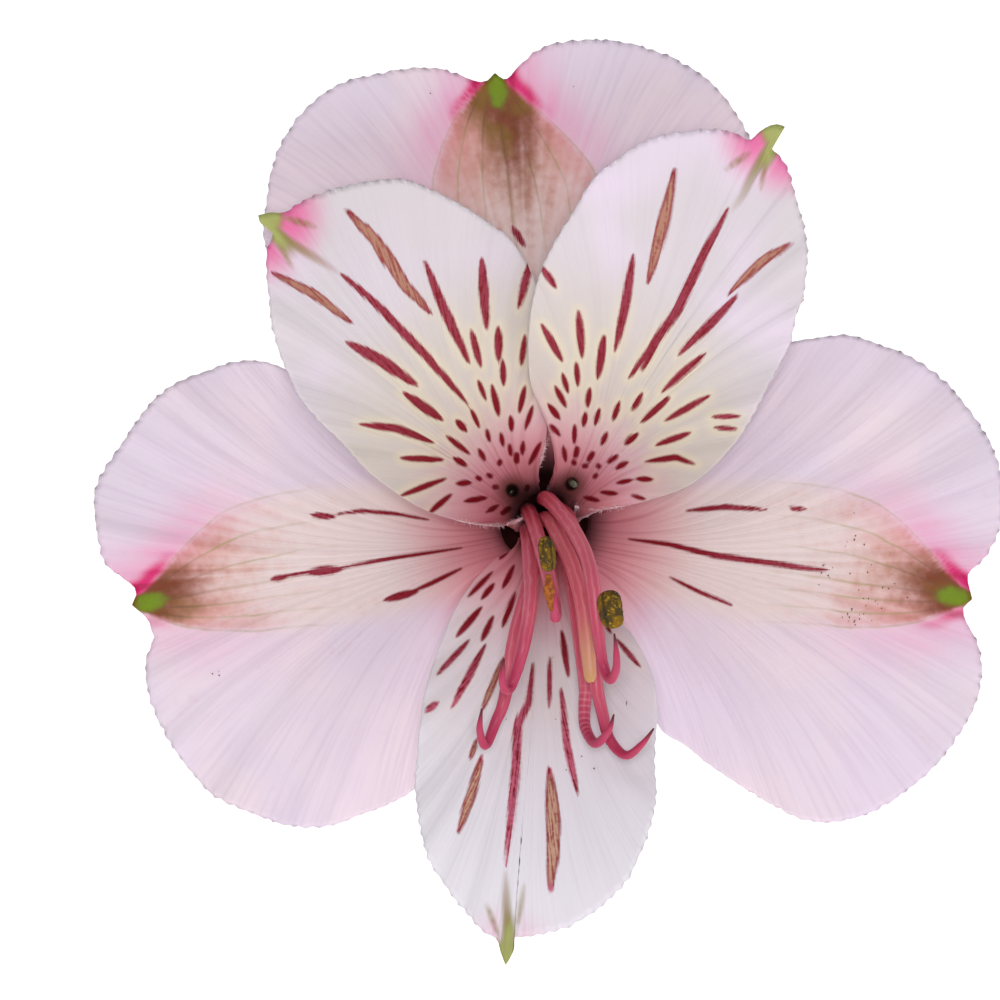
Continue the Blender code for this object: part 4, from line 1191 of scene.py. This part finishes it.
def add_nectar():
    nectar = speckled_material("nectar", 0.08, "nectar", "dark nectar", 1500.0, 0.6)
    turn = np.linspace(0.05, math.pi - 0.05, 16)
    for name, (*spot, radius) in NECTAR.items():
        centres = undrawn_with_height([spot]) + np.outer(-np.cos(turn) * radius, (0, 0, 1))
        path = np.column_stack([from_flower(centres), np.sin(turn) * radius])
        place(tube_mesh(name + "_nectar", path, 24), name, "inner_tepal", nectar)


def add_pollen_lobe():
    pollen = speckled_material("orange pollen", 0.85, "lobe", "dark lobe", 3000.0)
    path = flower_path(undrawn_with_height(POLLEN_LOBE), POLLEN_LOBE_RADII, 24)
    made = tube_mesh("pollen_lobe", path, 16, wobble=0.2, seed=2)
    place(made, "anther_centre", "anther", pollen)


def add_ovary():
    ends = ((0, 0, SEAT_GAP), (0, 0, -OVARY_LENGTH))
    path = flower_path(ends, smooth_path(OVARY_RADII, 200), 60)
    made = tube_mesh("ovary_ribbed", path, 96, ribs=6, rib_depth=0.06)
    place(made, "ovary", "green_stem", green_material("ovary", throat=True))


def stem_path(count):
    return with_radius(behind_throat(STEM), STEM_RADII, count)


def add_stems():
    green = green_material("stem")
    top = from_flower(((0, 0, SEAT_GAP - OVARY_LENGTH), (0, 0, -OVARY_LENGTH - 4)))
    path = with_radius(np.vstack([top, behind_throat(PEDICEL)]), PEDICEL_RADII, 160)
    place(tube_mesh("pedicel_stalk", path, 32, wobble=0.02, seed=8), "pedicel", "green_stem", green)
    looks = {"ribs": 24, "rib_depth": 0.012, "slant": STEM_CUT_SLANT, "wobble": 0.012, "seed": 4}
    place(tube_mesh("stem_stalk", stem_path(200), 72, **looks), "stem", "green_stem", green)


def leaf_grid(share, side, offsets, half_width, u, v):
    """Points over a leaf: rows u from its twisted foot on the stem to its tip, columns v."""
    stem = stem_path(16)
    spot = np.array([np.interp(share, np.linspace(0, 1, len(stem)), part) for part in stem.T])
    turn = math.radians(side)
    outward = np.array((math.cos(turn), 0, math.sin(turn)))
    root = spot[:3] + outward * (spot[3] - SEAT_GAP)
    foot = spot[:3] + outward * (spot[3] + SEAT_GAP + LEAF_STALK)
    centres = smooth_path([root, foot + outward + (0, -1.5, 0), *(foot + offsets)], len(u))
    along = unit(np.gradient(centres, axis=0))
    level = unit(np.cross((0.0, 0.0, 1.0), along))
    upward = np.cross(along, level)
    width = half_width * (0.16 + 0.84 * np.sin(math.pi * np.clip(u, 0.06, 0.94) ** 0.8) ** 0.9)
    width *= np.interp(u, (0, 0.2, 0.85, 1), (0.7, 1, 1, 0.12))
    twist = math.radians(LEAF_TWIST) * np.clip(1 - u / LEAF_TWIST_SHARE, 0, 1) ** 1.5
    sine, cosine = np.sin(twist)[:, None], np.cos(twist)[:, None]
    span = np.outer(width, v)[..., None]
    pleats = PLEAT_DEPTH * np.cos(v * LEAF_PLEATS * math.pi) * (1 - v**2)
    rise = LEAF_FOLD * np.sqrt(span**2 + 0.09) + pleats[:, None]
    across, lifted = level * cosine + upward * sine, upward * cosine - level * sine
    return centres[:, None] + across[:, None] * span + lifted[:, None] * rise


def add_leaves():
    material = leaf_material()
    u, v = np.linspace(0, 1, LEAF_ROWS), np.linspace(-1, 1, LEAF_COLUMNS + 1)
    along, across = np.meshgrid(u, v, indexing="ij")
    front = {
        "along": along,
        "midrib": bell(across, 0.06),
        "under": 0 * along,
        "veins": np.dstack([across, along * 2, 0 * along]),
    }
    back = front | {"under": np.ones_like(along)}
    for name, leaf in LEAVES.items():
        grid = leaf_grid(*leaf, u, v)
        thickness = LEAF_THICKNESS * (1 - 0.6 * np.abs(across) ** 3)
        place(sheet_mesh(name + "_blade", grid, thickness, front, back), name, "leaf", material)


# Stage

def add_floor():
    corners = np.array(((-1, -1, 0), (1, -1, 0), (1, 1, 0), (-1, 1, 0))) * FLOOR_HALF_WIDTH
    floor = new_mesh("floor", corners, [(0, 1, 2, 3)])
    shade = Shade("pale floor", (FLOOR_GREY, FLOOR_GREY, FLOOR_GREY, 1), 0.8, shine=0.1)
    shade.inputs["Emission Color"].default_value = (1, 1, 1, 1)
    shade.inputs["Emission Strength"].default_value = FLOOR_GLOW
    floor.data.materials.append(shade.finish())


def add_light(name, place_mm, width, watts):
    light = bpy.data.lights.new(name, "AREA")
    light.shape = "DISK"
    light.size = width * MM
    light.energy = watts
    made = add_object(name, light)
    made.location = from_flower(place_mm) * MM
    made.rotation_mode = "QUATERNION"
    away = Vector(from_flower(place_mm) - from_flower(LIGHT_TARGET))
    made.rotation_quaternion = away.to_track_quat("Z", "Y")


def add_studio():
    world = bpy.data.worlds.new("studio")
    world.use_nodes = True
    background = world.node_tree.nodes["Background"]
    background.inputs["Color"].default_value = (1, 1, 1, 1)
    background.inputs["Strength"].default_value = WORLD_STRENGTH
    bpy.context.scene.world = world
    bpy.context.scene.view_settings.view_transform = "Standard"
    for name, light in LIGHTS.items():
        add_light(name, *light)


def add_camera():
    """The camera stands in front of the bloom, as far off as the eye of the drawing."""
    camera = bpy.data.cameras.new("camera")
    made = add_object("camera", camera)
    made.location = from_flower((*undrawn(PAPER_CENTRE), EYE_HEIGHT)) * MM
    made.rotation_mode = "QUATERNION"
    made.rotation_quaternion = Matrix(flower_axes().T.tolist()).to_quaternion()
    camera.sensor_width = FILM_WIDTH
    camera.lens = FILM_WIDTH * (EYE_HEIGHT - DRAWING_HEIGHT) / (PAPER_SQUARES * SQUARE)
    camera.clip_start = 0.01
    camera.clip_end = 20.0
    bpy.context.scene.camera = made


def main():
    margins = add_tepals()
    add_stamens()
    add_rims(margins)
    add_nectar()
    add_pollen_lobe()
    add_ovary()
    add_stems()
    add_leaves()
    add_floor()
    add_studio()
    add_camera()


main()
